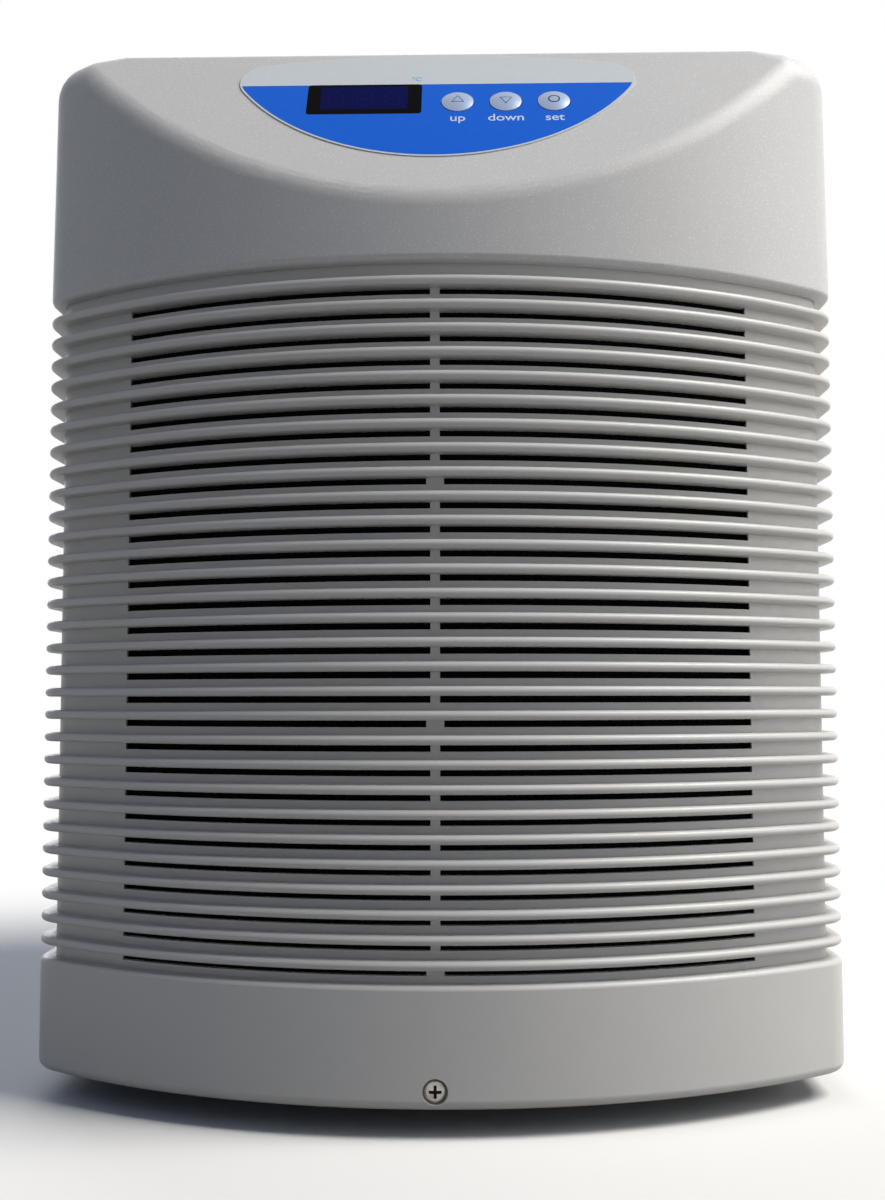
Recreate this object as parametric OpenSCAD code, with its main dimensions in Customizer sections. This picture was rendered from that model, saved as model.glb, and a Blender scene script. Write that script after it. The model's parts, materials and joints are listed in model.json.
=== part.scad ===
// Aquarium chiller: a compressor chiller in a moulded case with a bowed, ribbed front grille.
// The middle of the case stands on Z = 0, the front faces -Y and X runs to the right. Millimetres.

/* [Body] */
// Width over the hood and the ribs
body_w = 320; // [310:1:336]
// Depth from the middle of the bowed front to the rear face
body_d = 376; // [370:1:400]
// Radius of the bowed front, seen from above
bow_r = 254; // [248:1:280]
// Radius of the upright front corners
corner_r = 19; // [16:1:20]
// Radius of the upright rear corners
rear_r = 18; // [16:1:22]
// Thickness of the moulded walls
wall_t = 2.5; // [2.2:0.1:2.8]
// Gap left between pieces that are fitted beside each other
fit_gap = 0.3; // [0.2:0.05:0.4]
// How far the rear case lies inside the outline of the hood
case_inset = 1.5; // [1.4:0.1:1.8]
// How far the tongues of the case reach behind the grille and into the hood
tongue_h = 9; // [7:0.5:11]

/* [Grille] */
// Number of ribs
rib_count = 29; // [24:1:29]
// Distance from rib to rib
rib_pitch = 8.9; // [8.4:0.1:9.2]
// Thickness of a rib, whose nose is fully round
rib_t = 3.55; // [3.2:0.05:3.8]
// How far the ribs stand out of the grille wall
rib_reach = 6; // [5:0.1:7]
// Height of the slot under each rib
slot_h = 2.5; // [2:0.1:2.8]
// Width of the slotted field
slot_field_w = 241; // [230:1:244]
// Width of the upright strut in the middle
strut_w = 3.5; // [3:0.1:5]
// Width of the strut where it is stiffened
strut_wide_w = 6.5; // [5.5:0.1:8]
// Every how many ribs the strut is stiffened, counted from the lowest
strut_every = 10; // [8:1:12]
// Height of the plain band under the ribs
band_h = 43.7; // [42:0.1:48]
// Bare wall between the band and the lowest rib
band_gap = 5; // [4.5:0.1:6]
// Bare wall between the top rib and the hood
hood_gap = 5.5; // [5:0.1:7]
// Rounding of the band's upper edge
band_top_r = 2; // [1:0.1:2.4]
// Rounding of the band's lower edge
band_low_r = 4; // [3:0.1:4.5]
// How far the ribs run back along each side
side_run = 42; // [36:1:48]
// Thickness of the two rails that hold the filter
rail_t = 2.5; // [2:0.1:3]
// Clear space between the slots and the rails
rail_space = 4; // [3:0.5:5]

/* [Hood] */
// Height of the hood
hood_h = 101.6; // [98:0.1:106]
// Height of the crease above the hood's lower edge, in the middle
crease_h = 24.5; // [22:0.1:28]
// Angle of the sloped control face from level
slope_deg = 56.6; // [55:0.1:58]
// Thickness of the hood
hood_t = 3; // [2.6:0.1:3.2]
// Soft radius of the crease and the side edges
hood_r = 15; // [13:0.5:15.5]
// Radius of the edge between the sloped face and the top
brow_r = 4; // [3.5:0.5:5]
// Rounding of the lower edge
hood_rim_r = 2.5; // [2:0.1:2.5]
// How far each side leans in from the lower edge to the top
hood_draft = 1.3; // [0.8:0.1:1.6]

/* [Control panel] */
// Thickness of the adhesive panel
overlay_t = 0.4; // [0.3:0.05:0.5]
// Radius of the panel's lower arc
overlay_low_r = 90; // [88:1:94]
// Radius of the panel's upper arc
overlay_up_r = 380; // [340:5:420]
// Radius of the panel's two ends
overlay_end_r = 12; // [10:0.5:14]
// Height of the panel's lowest point up the slope from the crease
overlay_low = 22.5; // [21:0.5:24]
// Height of the panel
overlay_h = 67.8; // [66:0.1:67.8]
// Width of the display window
window_w = 45.2; // [42:0.1:47]
// Height of the display window
window_h = 19.8; // [18:0.1:21]
// Place of the window's middle to the left of the centre line
window_x = 28.4; // [28:0.1:30]
// Place of the window's middle up the slope
window_s = 59.8; // [58:0.1:61]
// Corner radius of the window
window_r = 1.5; // [1:0.1:2]
// Width of the rim behind the window
window_rim = 2; // [1.5:0.1:2.5]
// Diameter of a button
button_d = 12.5; // [11:0.1:13]
// Distance from button to button
button_pitch = 18.9; // [18.4:0.1:20]
// Place of the first button to the right of the centre line
button_x = 8.4; // [8:0.1:10]
// Place of the buttons up the slope
button_s = 57.3; // [56:0.1:60]
// How far a button stands out of the hood
button_out = 1.6; // [1.3:0.1:2]
// Travel of a button
button_travel = 0.8; // [0.5:0.1:0.9]
// Width of the flange behind a button
button_flange = 1.4; // [1:0.1:1.6]

/* [Base] */
// Height of the rubber feet under the case
foot_h = 10; // [8:0.5:12]
// Diameter of a foot where it meets the pan
foot_d = 30; // [26:1:32]
// Taper of a foot from top to bottom, on the radius
foot_taper = 2; // [1:0.5:3]
// Distance between the feet from side to side
feet_w = 236; // [220:1:244]
// Setback of the front feet behind the bow's middle
feet_front = 84; // [80:1:92]
// Setback of the rear feet from the rear face
feet_rear = 34; // [30:1:40]
// Height of the pan's upright rim
pan_rim_h = 26; // [24:1:30]
// Thickness of the pan's rim
pan_rim_t = 2; // [1.8:0.1:2.4]

/* [Condenser] */
// Rows of tubes
tube_rows = 8; // [6:2:8]
// Distance between the rows
row_pitch = 28; // [26:0.5:29]
// Distance between the two columns of tubes
col_pitch = 22; // [20:0.5:24]
// Diameter of the condenser tubes
tube_d = 9.5; // [8:0.1:10]
// Width of the fin pack
fins_w = 224; // [214:1:228]
// Depth of the fin pack
fins_d = 40; // [38:0.5:44]
// Number of fins
fin_count = 38; // [20:1:44]
// Thickness of a fin
fin_t = 0.5; // [0.3:0.05:0.8]
// Thickness of the two end plates
end_plate_t = 1.5; // [1.2:0.1:2]
// Width of the end plates' flanges
end_flange_w = 9; // [8:0.5:10]
// Height of the lowest tubes above the floor of the pan
fins_lift = 44; // [42:1:50]
// Space between the filter frame and the condenser
condenser_gap = 3; // [2.5:0.5:5]

/* [Air filter] */
// Thickness of the foam
filter_t = 6; // [5:0.5:7]
// Thickness of the frame behind the foam
frame_t = 3; // [2.5:0.1:3.5]
// Width of the frame's bars
frame_bar_w = 5; // [4:0.5:6]

/* [Fan] */
// Diameter of the fan's blades
fan_d = 196; // [180:1:200]
// Space between the blades and the ring of the shroud
fan_tip_gap = 3; // [2.5:0.5:4]
// Number of blades
blade_count = 5; // [3:1:6]
// Thickness of a blade
blade_t = 2; // [1.6:0.1:2.4]
// Angle of the blades from the plane of the fan
blade_deg = 24; // [20:1:26]
// Radius of the curve across a blade
blade_bend_r = 110; // [100:1:140]
// Length of a blade from its leading to its trailing edge
blade_chord = 46; // [40:1:48]
// Diameter of the hub
hub_d = 60; // [52:1:64]
// Length of the hub
hub_l = 20; // [18:1:22]
// Wall of the hub
hub_t = 3; // [2.5:0.1:3.5]
// Depth of the shroud between the condenser and its plate
shroud_d = 10; // [9:0.5:12]
// Depth of the shroud's ring
ring_d = 20; // [18:0.5:22]
// Thickness of the shroud
shroud_t = 2; // [1.8:0.1:2.4]
// Diameter of the motor
motor_d = 72; // [60:1:74]
// Length of the motor
motor_l = 46; // [40:1:48]
// Diameter of the motor's shaft
shaft_d = 8; // [6:0.5:8]
// Running clearance of the shaft in its bearings, on the radius
bearing_gap = 0.05; // [0.03:0.01:0.08]

/* [Compressor] */
// Diameter of the compressor's shell
comp_d = 116; // [106:1:118]
// Height of the cylindrical part of the shell
comp_h = 92; // [80:1:100]
// Radius of the domes that close the shell
comp_dome_r = 78; // [72:1:90]
// Place of the compressor to the left of the centre line
comp_x = 72; // [72:1:74]
// Side of the square plate under the compressor
comp_plate_w = 134; // [130:1:136]
// Height of the rubber grommets under the plate
grommet_h = 12; // [10:0.5:14]

/* [Heat exchanger] */
// Outer diameter of the water tank
tank_d = 100; // [96:1:104]
// Height of the water tank
tank_h = 212; // [208:1:220]
// Wall of the water tank
tank_t = 3; // [2.5:0.1:3.5]
// Width of the tank's flanges
tank_flange_w = 8; // [7:0.5:9]
// Place of the tank to the right of the centre line
tank_x = 78; // [76:1:80]
// Radius of the coil's centre line
coil_r = 33; // [31:1:35]
// Diameter of the coil's tube
coil_tube_d = 8; // [7:0.5:9]
// Distance from turn to turn
coil_pitch = 14; // [12:0.5:16]
// Number of turns
coil_turns = 9; // [6:1:9]

/* [Water ports] */
// Outer radius of the crests that the hose grips
tail_r = 10; // [9.5:0.1:10.2]
// Radius between the crests
tail_neck_r = 9; // [8.7:0.1:9.2]
// Radius of the water way
water_r = 7; // [6.5:0.1:7.2]
// Number of crests
crest_count = 4; // [3:1:5]
// Distance from crest to crest
crest_pitch = 8; // [7:0.1:8.5]
// Length of the straight land on each crest
crest_land = 1.6; // [1.4:0.1:2]
// Height of the lower port above the pan's floor
port_low = 60; // [56:1:70]
// Depth of the upper port below the tank's top
port_drop = 30; // [26:1:36]
// Outer radius of the tank's stubs
stub_r = 13; // [12.8:0.1:13.4]
// Width of a union nut across its flats
nut_w = 36; // [35:0.5:38]

/* [Mains inlet] */
// Width of the socket's cavity
socket_w = 24; // [23:0.1:24.4]
// Height of the socket's cavity
socket_h = 16.4; // [16:0.1:16.8]
// Depth of the socket's cavity
socket_d = 15.5; // [15:0.1:16]
// Place of the inlet to the left of the centre line
inlet_x = 95; // [90:1:100]
// Height of the inlet's middle above the pan's floor
inlet_z = 262; // [258:1:264]

/* [Hidden] */
$fn = 96;
// Runs of cutters past the faces that they cut
over = 1;

// Places that follow from round shapes are brought to this step
place_step = 0.5;
function on_step(v) = place_step * round(v / place_step);

// Close fits and thin skins
tube_fit = 0.05;
shaft_fit = 0.02;
skin = 0.1;

// Hose tails and their nuts
crest_lead = 5;
crest_share = 0.8;
nut_l = 13;
nut_collar = 2.25;
tail_flange_t = 2.5;
seal_t = 1.5;
nut_start = seal_t - case_inset + fit_gap;
stub_out = nut_start + nut_l - nut_collar - tail_flange_t - tube_fit;
tail_lead = tail_flange_t + crest_lead;
tail_l = tail_lead + crest_count * crest_pitch;
tail_out = stub_out + tail_l;

// Outline in plan
half_w = body_w / 2;
front_y = -(body_d + tail_out) / 2;
rear_y = front_y + body_d;
bow_y = front_y + bow_r;
corner_x = half_w - corner_r;
bow_deg = asin(corner_x / (bow_r - corner_r));
corner_y = bow_y - (bow_r - corner_r) * cos(bow_deg);
grille_end_y = corner_y + side_run;

// Levels
pan_z = foot_h + wall_t + fit_gap;
floor_z = pan_z + wall_t;
band_top_z = foot_h + band_h;
rib_low_z = band_top_z + band_gap;
rib_top_z = rib_low_z + (rib_count - 1) * rib_pitch + rib_t;
hood_z = rib_top_z + hood_gap;
top_z = hood_z + hood_h;
ledge_z = hood_z - tongue_h;
deck_z = ledge_z + wall_t;
deck_t = 1.2;

// Grille
grille_u = rib_reach + wall_t;
wall_in_r = bow_r - grille_u;
rail_deg = asin((slot_field_w / 2 + rail_space) / wall_in_r);
filter_r = wall_in_r - 2 * fit_gap;
frame_r = filter_r - filter_t - fit_gap;
frame_in_r = frame_r - frame_t;
filter_deg = rail_deg - asin(fit_gap / frame_in_r);
frame_back_y = bow_y - frame_in_r * cos(rail_deg);
filter_top_z = deck_z - fit_gap;
frame_bays = 4;

// Fasteners
screw_r = 2;
screw_slack = 0.2;
boss_r = 5;
head_r = 4.3;
head_h = 2.2;
flat_head_h = 1.4;
head_dome_share = 0.7;
cross_share = 0.53;
cross_w = 1.1;
cross_depth_share = 0.6;
small_screw_r = 1.4;
small_head_r = 2.8;
small_screw_l = 8;
grille_screw_up = 6.9;
grille_screw_z = foot_h + grille_screw_up;
grille_screw_l = 15;
hood_screw_x = 100;
hood_screw_l = 10;
hood_boss_l = 7;
hood_boss_r = 4;
case_screw_l = 12;
case_screw_front = 150;
case_screw_rear = 60;
case_screw_ys = [front_y + case_screw_front, rear_y - case_screw_rear];
foot_seat_z = 5;

// Case shell
ledge_w = 12;
louvre_deg = 30;
louvre_h = 3.1;
louvre_pitch = 10;
louvre_rows = 18;
louvre_w = 84;
louvre_post = 16;
louvre_lift = 60;
louvre_low_z = floor_z + louvre_lift;
louvre_mid_y = (grille_end_y + rear_y - rear_r) / 2;
louvre_ys = [louvre_mid_y - (louvre_w + louvre_post) / 2, louvre_mid_y + (louvre_w + louvre_post) / 2];

// Hood
slope_tan = tan(slope_deg);
slope_cos = cos(slope_deg);
crease_z = hood_z + crease_h;
bow_steps = 24;
corner_steps = 4;
lip_t = 2;

// Control board and what it carries
board_depth = 12;
board_t = 1.6;
board_w = 128;
board_h = 44;
board_s = 58;
board_screw_r = 1.3;
board_screw_l = 8;
board_boss_r = 3.2;
board_edge = 5;
overlay_top = overlay_low + overlay_h;
overlay_steps = 360;
window_rim_t = 1.5;
button_dome = 1;
button_back_t = 1.2;
button_stem_r = 1.8;
switch_w = 6;
switch_body_h = 3.5;
switch_h = 5;
module_w = 49;
module_h = 19;
digit_w = 6.4;
digit_h = 12;
segment_w = 1.2;
segment_sink = 0.4;

// Condenser
pan_inset = case_inset + wall_t + fit_gap;
condenser_y = on_step(frame_back_y + condenser_gap);
tubes_z = floor_z + fins_lift;
tubes_top = tubes_z + (tube_rows - 1) * row_pitch;
fins_low_z = tubes_z - row_pitch / 2;
fins_h = tube_rows * row_pitch;
fins_top_z = fins_low_z + fins_h;
col_y = condenser_y + (fins_d - col_pitch) / 2;
end_x = fins_w / 2 + end_plate_t;
tube_lead = 4;
tube_end_x = end_x + tube_lead;

// Fan
shroud_y = condenser_y + fins_d + fit_gap;
plate_y = shroud_y + shroud_d;
fan_z = (fins_low_z + fins_top_z) / 2;
fan_y = plate_y + shroud_t + ring_d / 2;
ring_r = fan_d / 2 + fan_tip_gap;
arm_t = 3;
arm_w = 10;
arm_rim = 0.5;
bracket_y = fan_y + ring_d / 2 + 3 * arm_t;
motor_y = bracket_y + arm_t;
motor_boss_r = 12;
motor_boss_out = 2;
motor_rib_t = 2;
bell_share = 0.85;
shaft_out = 4;

// Compressor
comp_r = comp_d / 2;
comp_room = 10;
comp_y = rear_y - case_inset - wall_t - comp_room - comp_plate_w / 2;
comp_low_z = floor_z + grommet_h;
plate_t = 2.5;
comp_sink = 6;
comp_dome_h = comp_dome_r - sqrt(pow(comp_dome_r, 2) - pow(comp_r, 2));
comp_shell_z = comp_low_z + plate_t + comp_dome_h - comp_sink;
comp_top_z = comp_shell_z + comp_h + comp_dome_h;
comp_stub_out = 12;
comp_stub_r = 4.5;
stub_z = on_step(comp_top_z + comp_stub_out);
stubs_off = 24;
stubs_x = stubs_off - comp_x;
discharge_y = comp_y - stubs_off;
weld_h = 4;
weld_out = 2.5;
weld_share = 0.55;
cover_w = 44;
cover_d = 18;
cover_h = 44;
cover_low = 3;
stud_r = 3;
stud_slack = 1;
stud_edge = 11;
stud_span = comp_plate_w - 2 * stud_edge;
grommet_r = 9;
nut_h = 5;

// Heat exchanger
tank_y = rear_y - case_inset - wall_t - comp_room - tank_d / 2 - tank_flange_w;
tank_top_z = floor_z + tank_h;
port_high = tank_h - port_drop;
lid_t = 6;
tank_screw_count = 6;
tank_screw_l = 14;
tank_head_r = 3.4;
gland_r = 8;
sensor_r = 14;
sensor_deg = 60;
sensor_l = 70;

// The coil's centre line in radius, angle and height: down, round in turns, in and up again
coil_drop = 32;
coil_bend = 10;
bend_steps = 4;
coil_steps = 16;
coil_sides = 6;
riser_r = 14;
coil_top_z = tank_top_z - coil_drop;
coil_end_z = tank_top_z + 3 * lid_t;
function turn_of(length, r) = length / r * 180 / PI;
coil_bend_deg = turn_of(coil_bend, coil_r);
coil_low_z = coil_top_z - coil_turns * coil_pitch - coil_pitch;
riser_deg = 360 * coil_turns + 270;
coil_low_deg = riser_deg - turn_of(coil_bend, riser_r);
inward_deg = coil_low_deg - coil_bend_deg - 360 * coil_turns;
coil_in = [coil_r, 0];
coil_out = riser_r * [cos(riser_deg), sin(riser_deg)];
sensor_at = sensor_r * [cos(sensor_deg), sin(sensor_deg)];
coil_line = concat(
    [[coil_r, 0, coil_end_z]],
    [for (t = [0:bend_steps])
        [coil_r, turn_of(coil_bend * (1 - cos(90 * t / bend_steps)), coil_r),
            coil_top_z + coil_bend * (1 - sin(90 * t / bend_steps))]],
    [for (k = [1:coil_turns * coil_steps])
        [coil_r, coil_bend_deg + 360 * k / coil_steps, coil_top_z - coil_pitch * k / coil_steps]],
    [for (k = [1:coil_steps / 2])
        [coil_r + (riser_r - coil_r) * 2 * k / coil_steps,
            coil_bend_deg + 360 * coil_turns + inward_deg * 2 * k / coil_steps,
            coil_top_z - coil_turns * coil_pitch - coil_pitch * 2 * k / coil_steps]],
    [for (t = [1:bend_steps])
        [riser_r, coil_low_deg + turn_of(coil_bend * sin(90 * t / bend_steps), riser_r),
            coil_low_z + coil_bend * (1 - cos(90 * t / bend_steps))]],
    [[riser_r, riser_deg, coil_end_z]]);

// Refrigerant pipes
pipe_r = 4;
pipe_bend = 12;
pipe_x = -tube_end_x - pipe_bend - over;
gas_rise = 18;
gas_z = fins_top_z + gas_rise;
suction_rise = 14;
suction_z = coil_end_z + suction_rise;
suction_y = tank_y + coil_out[1];
capillary_r = 1.5;
capillary_bend = 8;
capillary_rise = 9;
capillary_off = 30;
drier_y = motor_y;
drier_l = 70;
drier_r = 9;
drier_neck = 10;

// Mains inlet
inlet_wall = 1.7;
inlet_w = socket_w + 2 * inlet_wall;
inlet_h = socket_h + 2 * inlet_wall;
inlet_edge_r = 2;
inlet_flange_w = 50;
inlet_flange_h = 24;
inlet_flange_r = 3;
inlet_flange_t = 2.5;
inlet_back_t = 2.5;
inlet_screw_span = 40;
pin_span = 7;
pin_off = 2;
pin_w = 2;
pin_h = 4;
pin_l = 13.5;
pin_tail = 8;

// Electronics on the deck
deck_inset = grille_u + fit_gap;
cable_hole_r = 10;
cable_room = 40;
deck_holes = [[-inlet_x, rear_y - cable_room], [tank_x, rear_y - cable_room]];
power_front = 190;
power_x = 0;
power_y = front_y + power_front;
power_w = 120;
power_d = 90;
power_lift = 8;
relay_h = 18;
transformer_x = -110;
core_w = 54;
core_d = 45;
core_h = 46;
can_y = power_y + power_d;
can_r = 20;
can_l = 62;

// Colours as the photograph shows them, and plain ones inside
shell_colour = "gainsboro";
dark_colour = "dimgray";

// Shared shapes

// Lifts its children
module raise(up) {
    translate([0, 0, up]) children();
}

// Adds a copy of its children on the left
module both_sides() {
    children();
    mirror([1, 0, 0]) children();
}

// Sweeps its first child round the bow and its second round both corners, with X from each one's centre.
// Each sweep starts on one seam, runs too far and is cut back to the next.
module sweep_bow() {
    translate([0, bow_y])
        difference() {
            rotate(-90 - bow_deg) rotate_extrude(angle = 90) children(0);
            rotate(bow_deg - 90)
                raise(-over) cube([2 * bow_r, 2 * bow_r, top_z + 2 * over]);
        }
    both_sides()
        translate([corner_x, corner_y])
            difference() {
                rotate(bow_deg - 90) rotate_extrude(angle = 90) children(1);
                raise(-over) cube([2 * corner_r, 2 * corner_r, top_z + 2 * over]);
            }
}

// Sweeps a section round the bow and both corners and back along the sides.
// The section has X as the distance inside the outline and Y as the height.
module sweep_front(run) {
    sweep_bow() {
        translate([bow_r, 0]) mirror([1, 0]) children();
        translate([corner_r, 0]) mirror([1, 0]) children();
    }
    both_sides()
        translate([0, corner_y + run])
            rotate([90, 0, 0])
                linear_extrude(run)
                    translate([half_w, 0]) mirror([1, 0]) children();
}

// Sweeps a section along the sides from the grille's end and round the rear
module sweep_rear(from_y) {
    straight = rear_y - rear_r - from_y;
    both_sides() {
        translate([0, rear_y - rear_r])
            rotate([90, 0, 0])
                linear_extrude(straight)
                    translate([half_w, 0]) mirror([1, 0]) children();
        translate([half_w - rear_r, rear_y - rear_r])
            rotate_extrude(angle = 90)
                translate([rear_r, 0]) mirror([1, 0]) children();
    }
    translate([half_w - rear_r, rear_y])
        rotate([0, 0, 180])
            rotate([90, 0, 90])
                linear_extrude(2 * (half_w - rear_r))
                    children();
}

// A level plate that follows the outline of the case, drawn inside it
module plan_plate(inset, thick) {
    linear_extrude(thick) {
        intersection() {
            translate([0, bow_y]) circle(bow_r - inset);
            polygon([[0, bow_y], [2 * corner_x, 2 * corner_y - bow_y], [-2 * corner_x, 2 * corner_y - bow_y]]);
        }
        both_sides() {
            translate([corner_x, corner_y]) circle(corner_r - inset);
            translate([half_w - rear_r, rear_y - rear_r]) circle(rear_r - inset);
        }
        polygon([[0, bow_y], [corner_x, corner_y], [half_w - inset, corner_y],
            [half_w - inset, rear_y - rear_r], [half_w - rear_r, rear_y - inset],
            [rear_r - half_w, rear_y - inset], [inset - half_w, rear_y - rear_r],
            [inset - half_w, corner_y], [-corner_x, corner_y]]);
    }
}

// A sector of a ring about the centre of the bow
module bow_sector(r_out, r_in, deg, low, high) {
    translate([0, bow_y, low])
        rotate(-90 - deg)
            rotate_extrude(angle = 2 * deg)
                translate([r_in, 0]) square([r_out - r_in, high - low]);
}

// A place on the slope: X to the right, Y up from the crease, Z out of the face
module on_slope(x, s) {
    translate([x, front_y + s * slope_cos, crease_z + s * sin(slope_deg)])
        rotate([slope_deg, 0, 0])
            children();
}

// A rectangle with true round corners
module round_rect(w, h, r) {
    square([w, h - 2 * r], center = true);
    square([w - 2 * r, h], center = true);
    for (x = [r - w / 2, w / 2 - r], y = [r - h / 2, h / 2 - r])
        translate([x, y]) circle(r);
}

// A screw along Z with its domed head on top of Z = 0 and its shank below
module domed_screw(hr, hh, r, l) {
    dome_h = head_dome_share * hh;
    dome_r = (hr * hr + dome_h * dome_h) / (2 * dome_h);
    difference() {
        intersection() {
            cylinder(h = hh, r = hr);
            raise(hh - dome_r) sphere(dome_r);
        }
        for (a = [0, 90])
            rotate(a)
                translate([-cross_share * hr, -cross_w / 2, hh - cross_depth_share * hh])
                    cube([2 * cross_share * hr, cross_w, hh]);
    }
    raise(-l) cylinder(h = l + hh / 4, r = r);
}

// A round tube through points, with a true bend at each corner
module pipe(r, bend, pts) {
    last = len(pts) - 1;
    for (i = [0:last - 1]) {
        leg = pts[i + 1] - pts[i];
        d = leg / norm(leg);
        start = i == 0 ? 0 : bend;
        end = i == last - 1 ? 0 : bend;
        x = [d[1], d[2], d[0]];
        y = cross(d, x);
        at = pts[i] + start * d;
        multmatrix([[x[0], y[0], d[0], at[0]], [x[1], y[1], d[1], at[1]], [x[2], y[2], d[2], at[2]]])
            cylinder(h = norm(leg) - start - end, r = r);
        if (i < last - 1) {
            e = (pts[i + 2] - pts[i + 1]) / norm(pts[i + 2] - pts[i + 1]);
            z = cross(d, e);
            c = pts[i + 1] - bend * d + bend * e;
            multmatrix([[-e[0], d[0], z[0], c[0]], [-e[1], d[1], z[1], c[1]], [-e[2], d[2], z[2], c[2]]])
                rotate_extrude(angle = 90)
                    translate([bend, 0]) circle(r);
        }
    }
}

// Front grille

// One rib with its round nose, from the outline to the inner face of the wall
module rib_section() {
    nose_r = rib_t / 2;
    translate([nose_r, nose_r]) circle(nose_r);
    translate([nose_r, 0]) square([grille_u - nose_r, rib_t]);
}

// The band under the ribs, with both outer edges rounded and a lip at the foot
module band_section() {
    difference() {
        union() {
            translate([band_low_r, foot_h]) square([grille_u - band_low_r, band_h]);
            translate([0, foot_h + band_low_r]) square([band_low_r, band_h - band_low_r - band_top_r]);
            translate([band_top_r, band_top_z - band_top_r]) square([band_low_r - band_top_r, band_top_r]);
            translate([band_low_r, foot_h + band_low_r]) circle(band_low_r);
            translate([band_top_r, band_top_z - band_top_r]) circle(band_top_r);
        }
        translate([wall_t, foot_h + wall_t]) square([grille_u, band_h - 2 * wall_t]);
    }
}

// The whole comb: wall, ribs and band
module grille_section() {
    translate([rib_reach, band_top_z - wall_t]) square([wall_t, hood_z + tongue_h - band_top_z + wall_t]);
    for (i = [0:rib_count - 1])
        translate([0, rib_low_z + i * rib_pitch]) rib_section();
    band_section();
}

// A slot under each rib on both sides of the strut
module grille_slots() {
    slot_back_y = bow_y - sqrt(pow(wall_in_r, 2) - pow(slot_field_w / 2, 2)) + over;
    for (i = [0:rib_count - 1]) {
        strut = i % strut_every == 0 ? strut_wide_w : strut_w;
        both_sides()
            translate([strut / 2, front_y - over, rib_low_z + i * rib_pitch - slot_h])
                cube([(slot_field_w - strut) / 2, slot_back_y - front_y + over, slot_h]);
    }
}

module front_grille() {
    color(shell_colour)
        difference() {
            union() {
                difference() {
                    sweep_front(side_run) grille_section();
                    grille_slots();
                }
                both_sides()
                    translate([0, bow_y, band_top_z - wall_t])
                        rotate(rail_deg - 90)
                            translate([frame_in_r, 0])
                                cube([wall_in_r + wall_t / 2 - frame_in_r, rail_t, filter_top_z - band_top_z + wall_t]);
                bow_sector(wall_in_r + wall_t / 2, frame_in_r, rail_deg, band_top_z - wall_t, band_top_z);
                translate([0, front_y + pan_inset - fit_gap, grille_screw_z])
                    rotate([90, 0, 0])
                        cylinder(h = pan_inset - fit_gap - wall_t / 2, r = boss_r);
            }
            translate([0, front_y + pan_inset, grille_screw_z])
                rotate([90, 0, 0])
                    cylinder(h = pan_inset, r = screw_r + screw_slack);
            translate([0, front_y + head_h, grille_screw_z])
                rotate([90, 0, 0])
                    cylinder(h = head_h + over, r = head_r + fit_gap);
        }
}

module grille_screw() {
    color("silver")
        translate([0, front_y + head_h, grille_screw_z])
            rotate([90, 0, 0])
                domed_screw(head_r, head_h, screw_r, grille_screw_l);
}

// Top hood

// Points along an arc
function arc_points(c, r, a, b, n) = [for (i = [0:n]) c + r * [cos(a + (b - a) * i / n), sin(a + (b - a) * i / n)]];

// The outline of the hood in plan, drawn inside it by a distance
function hood_outline(inset) = concat(
    arc_points([0, bow_y], bow_r - inset, -90 - bow_deg, bow_deg - 90, bow_steps),
    arc_points([corner_x, corner_y], corner_r - inset, bow_deg - 90, 0, corner_steps),
    arc_points([half_w - rear_r, rear_y - rear_r], rear_r - inset, 0, 90, corner_steps),
    arc_points([rear_r - half_w, rear_y - rear_r], rear_r - inset, 90, 180, corner_steps),
    arc_points([-corner_x, corner_y], corner_r - inset, 180, 270 - bow_deg, corner_steps));

// Height of the middle of a ball that rolls under the slope and under the top
function ball_z(y) = min(top_z - hood_r, crease_z + slope_tan * (y - front_y) - hood_r / slope_cos);

// Draws a place in as the sides lean
function leaned(p, z) = [p[0] * (1 - hood_draft / half_w * (z - hood_z) / hood_h), p[1], z];

// The hood as a closed body, a distance inside its outer skin
module hood_form(inset, fine) {
    ball_edge_y = bow_y - front_y - (top_z - hood_r - crease_z + hood_r / slope_cos) / slope_tan;
    ball_edge_x = sqrt(pow(bow_r - hood_r, 2) - pow(ball_edge_y, 2));
    brow_y = front_y + (top_z - brow_r - crease_z + brow_r / slope_cos) / slope_tan;
    hull() {
        for (p = hood_outline(hood_r))
            translate(leaned(p, ball_z(p[1]))) sphere(hood_r - inset, $fn = fine);
        both_sides() {
            translate(leaned([ball_edge_x, bow_y - ball_edge_y], top_z - hood_r)) sphere(hood_r - inset, $fn = fine);
            translate([ball_edge_x - hood_r + brow_r, brow_y, top_z - brow_r]) sphere(brow_r - inset, $fn = fine);
        }
        if (inset == 0)
            for (a = [0, 45, 90])
                raise(hood_z + hood_rim_r * (1 - cos(a)))
                    linear_extrude(skin)
                        polygon(hood_outline(hood_rim_r * (1 - sin(a))));
        else
            raise(hood_z - over)
                linear_extrude(skin)
                    polygon(hood_outline(inset));
    }
}

// A copy of its children at each of the four corners of the control board
module at_board_corners() {
    for (x = [-1, 1], s = [-1, 1])
        on_slope(x * (board_w / 2 - board_edge), board_s + s * (board_h / 2 - board_edge))
            children();
}

// The window's outline, grown by a distance
module window_shape(grow) {
    round_rect(window_w + 2 * grow, window_h + 2 * grow, window_r + grow);
}

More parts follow.
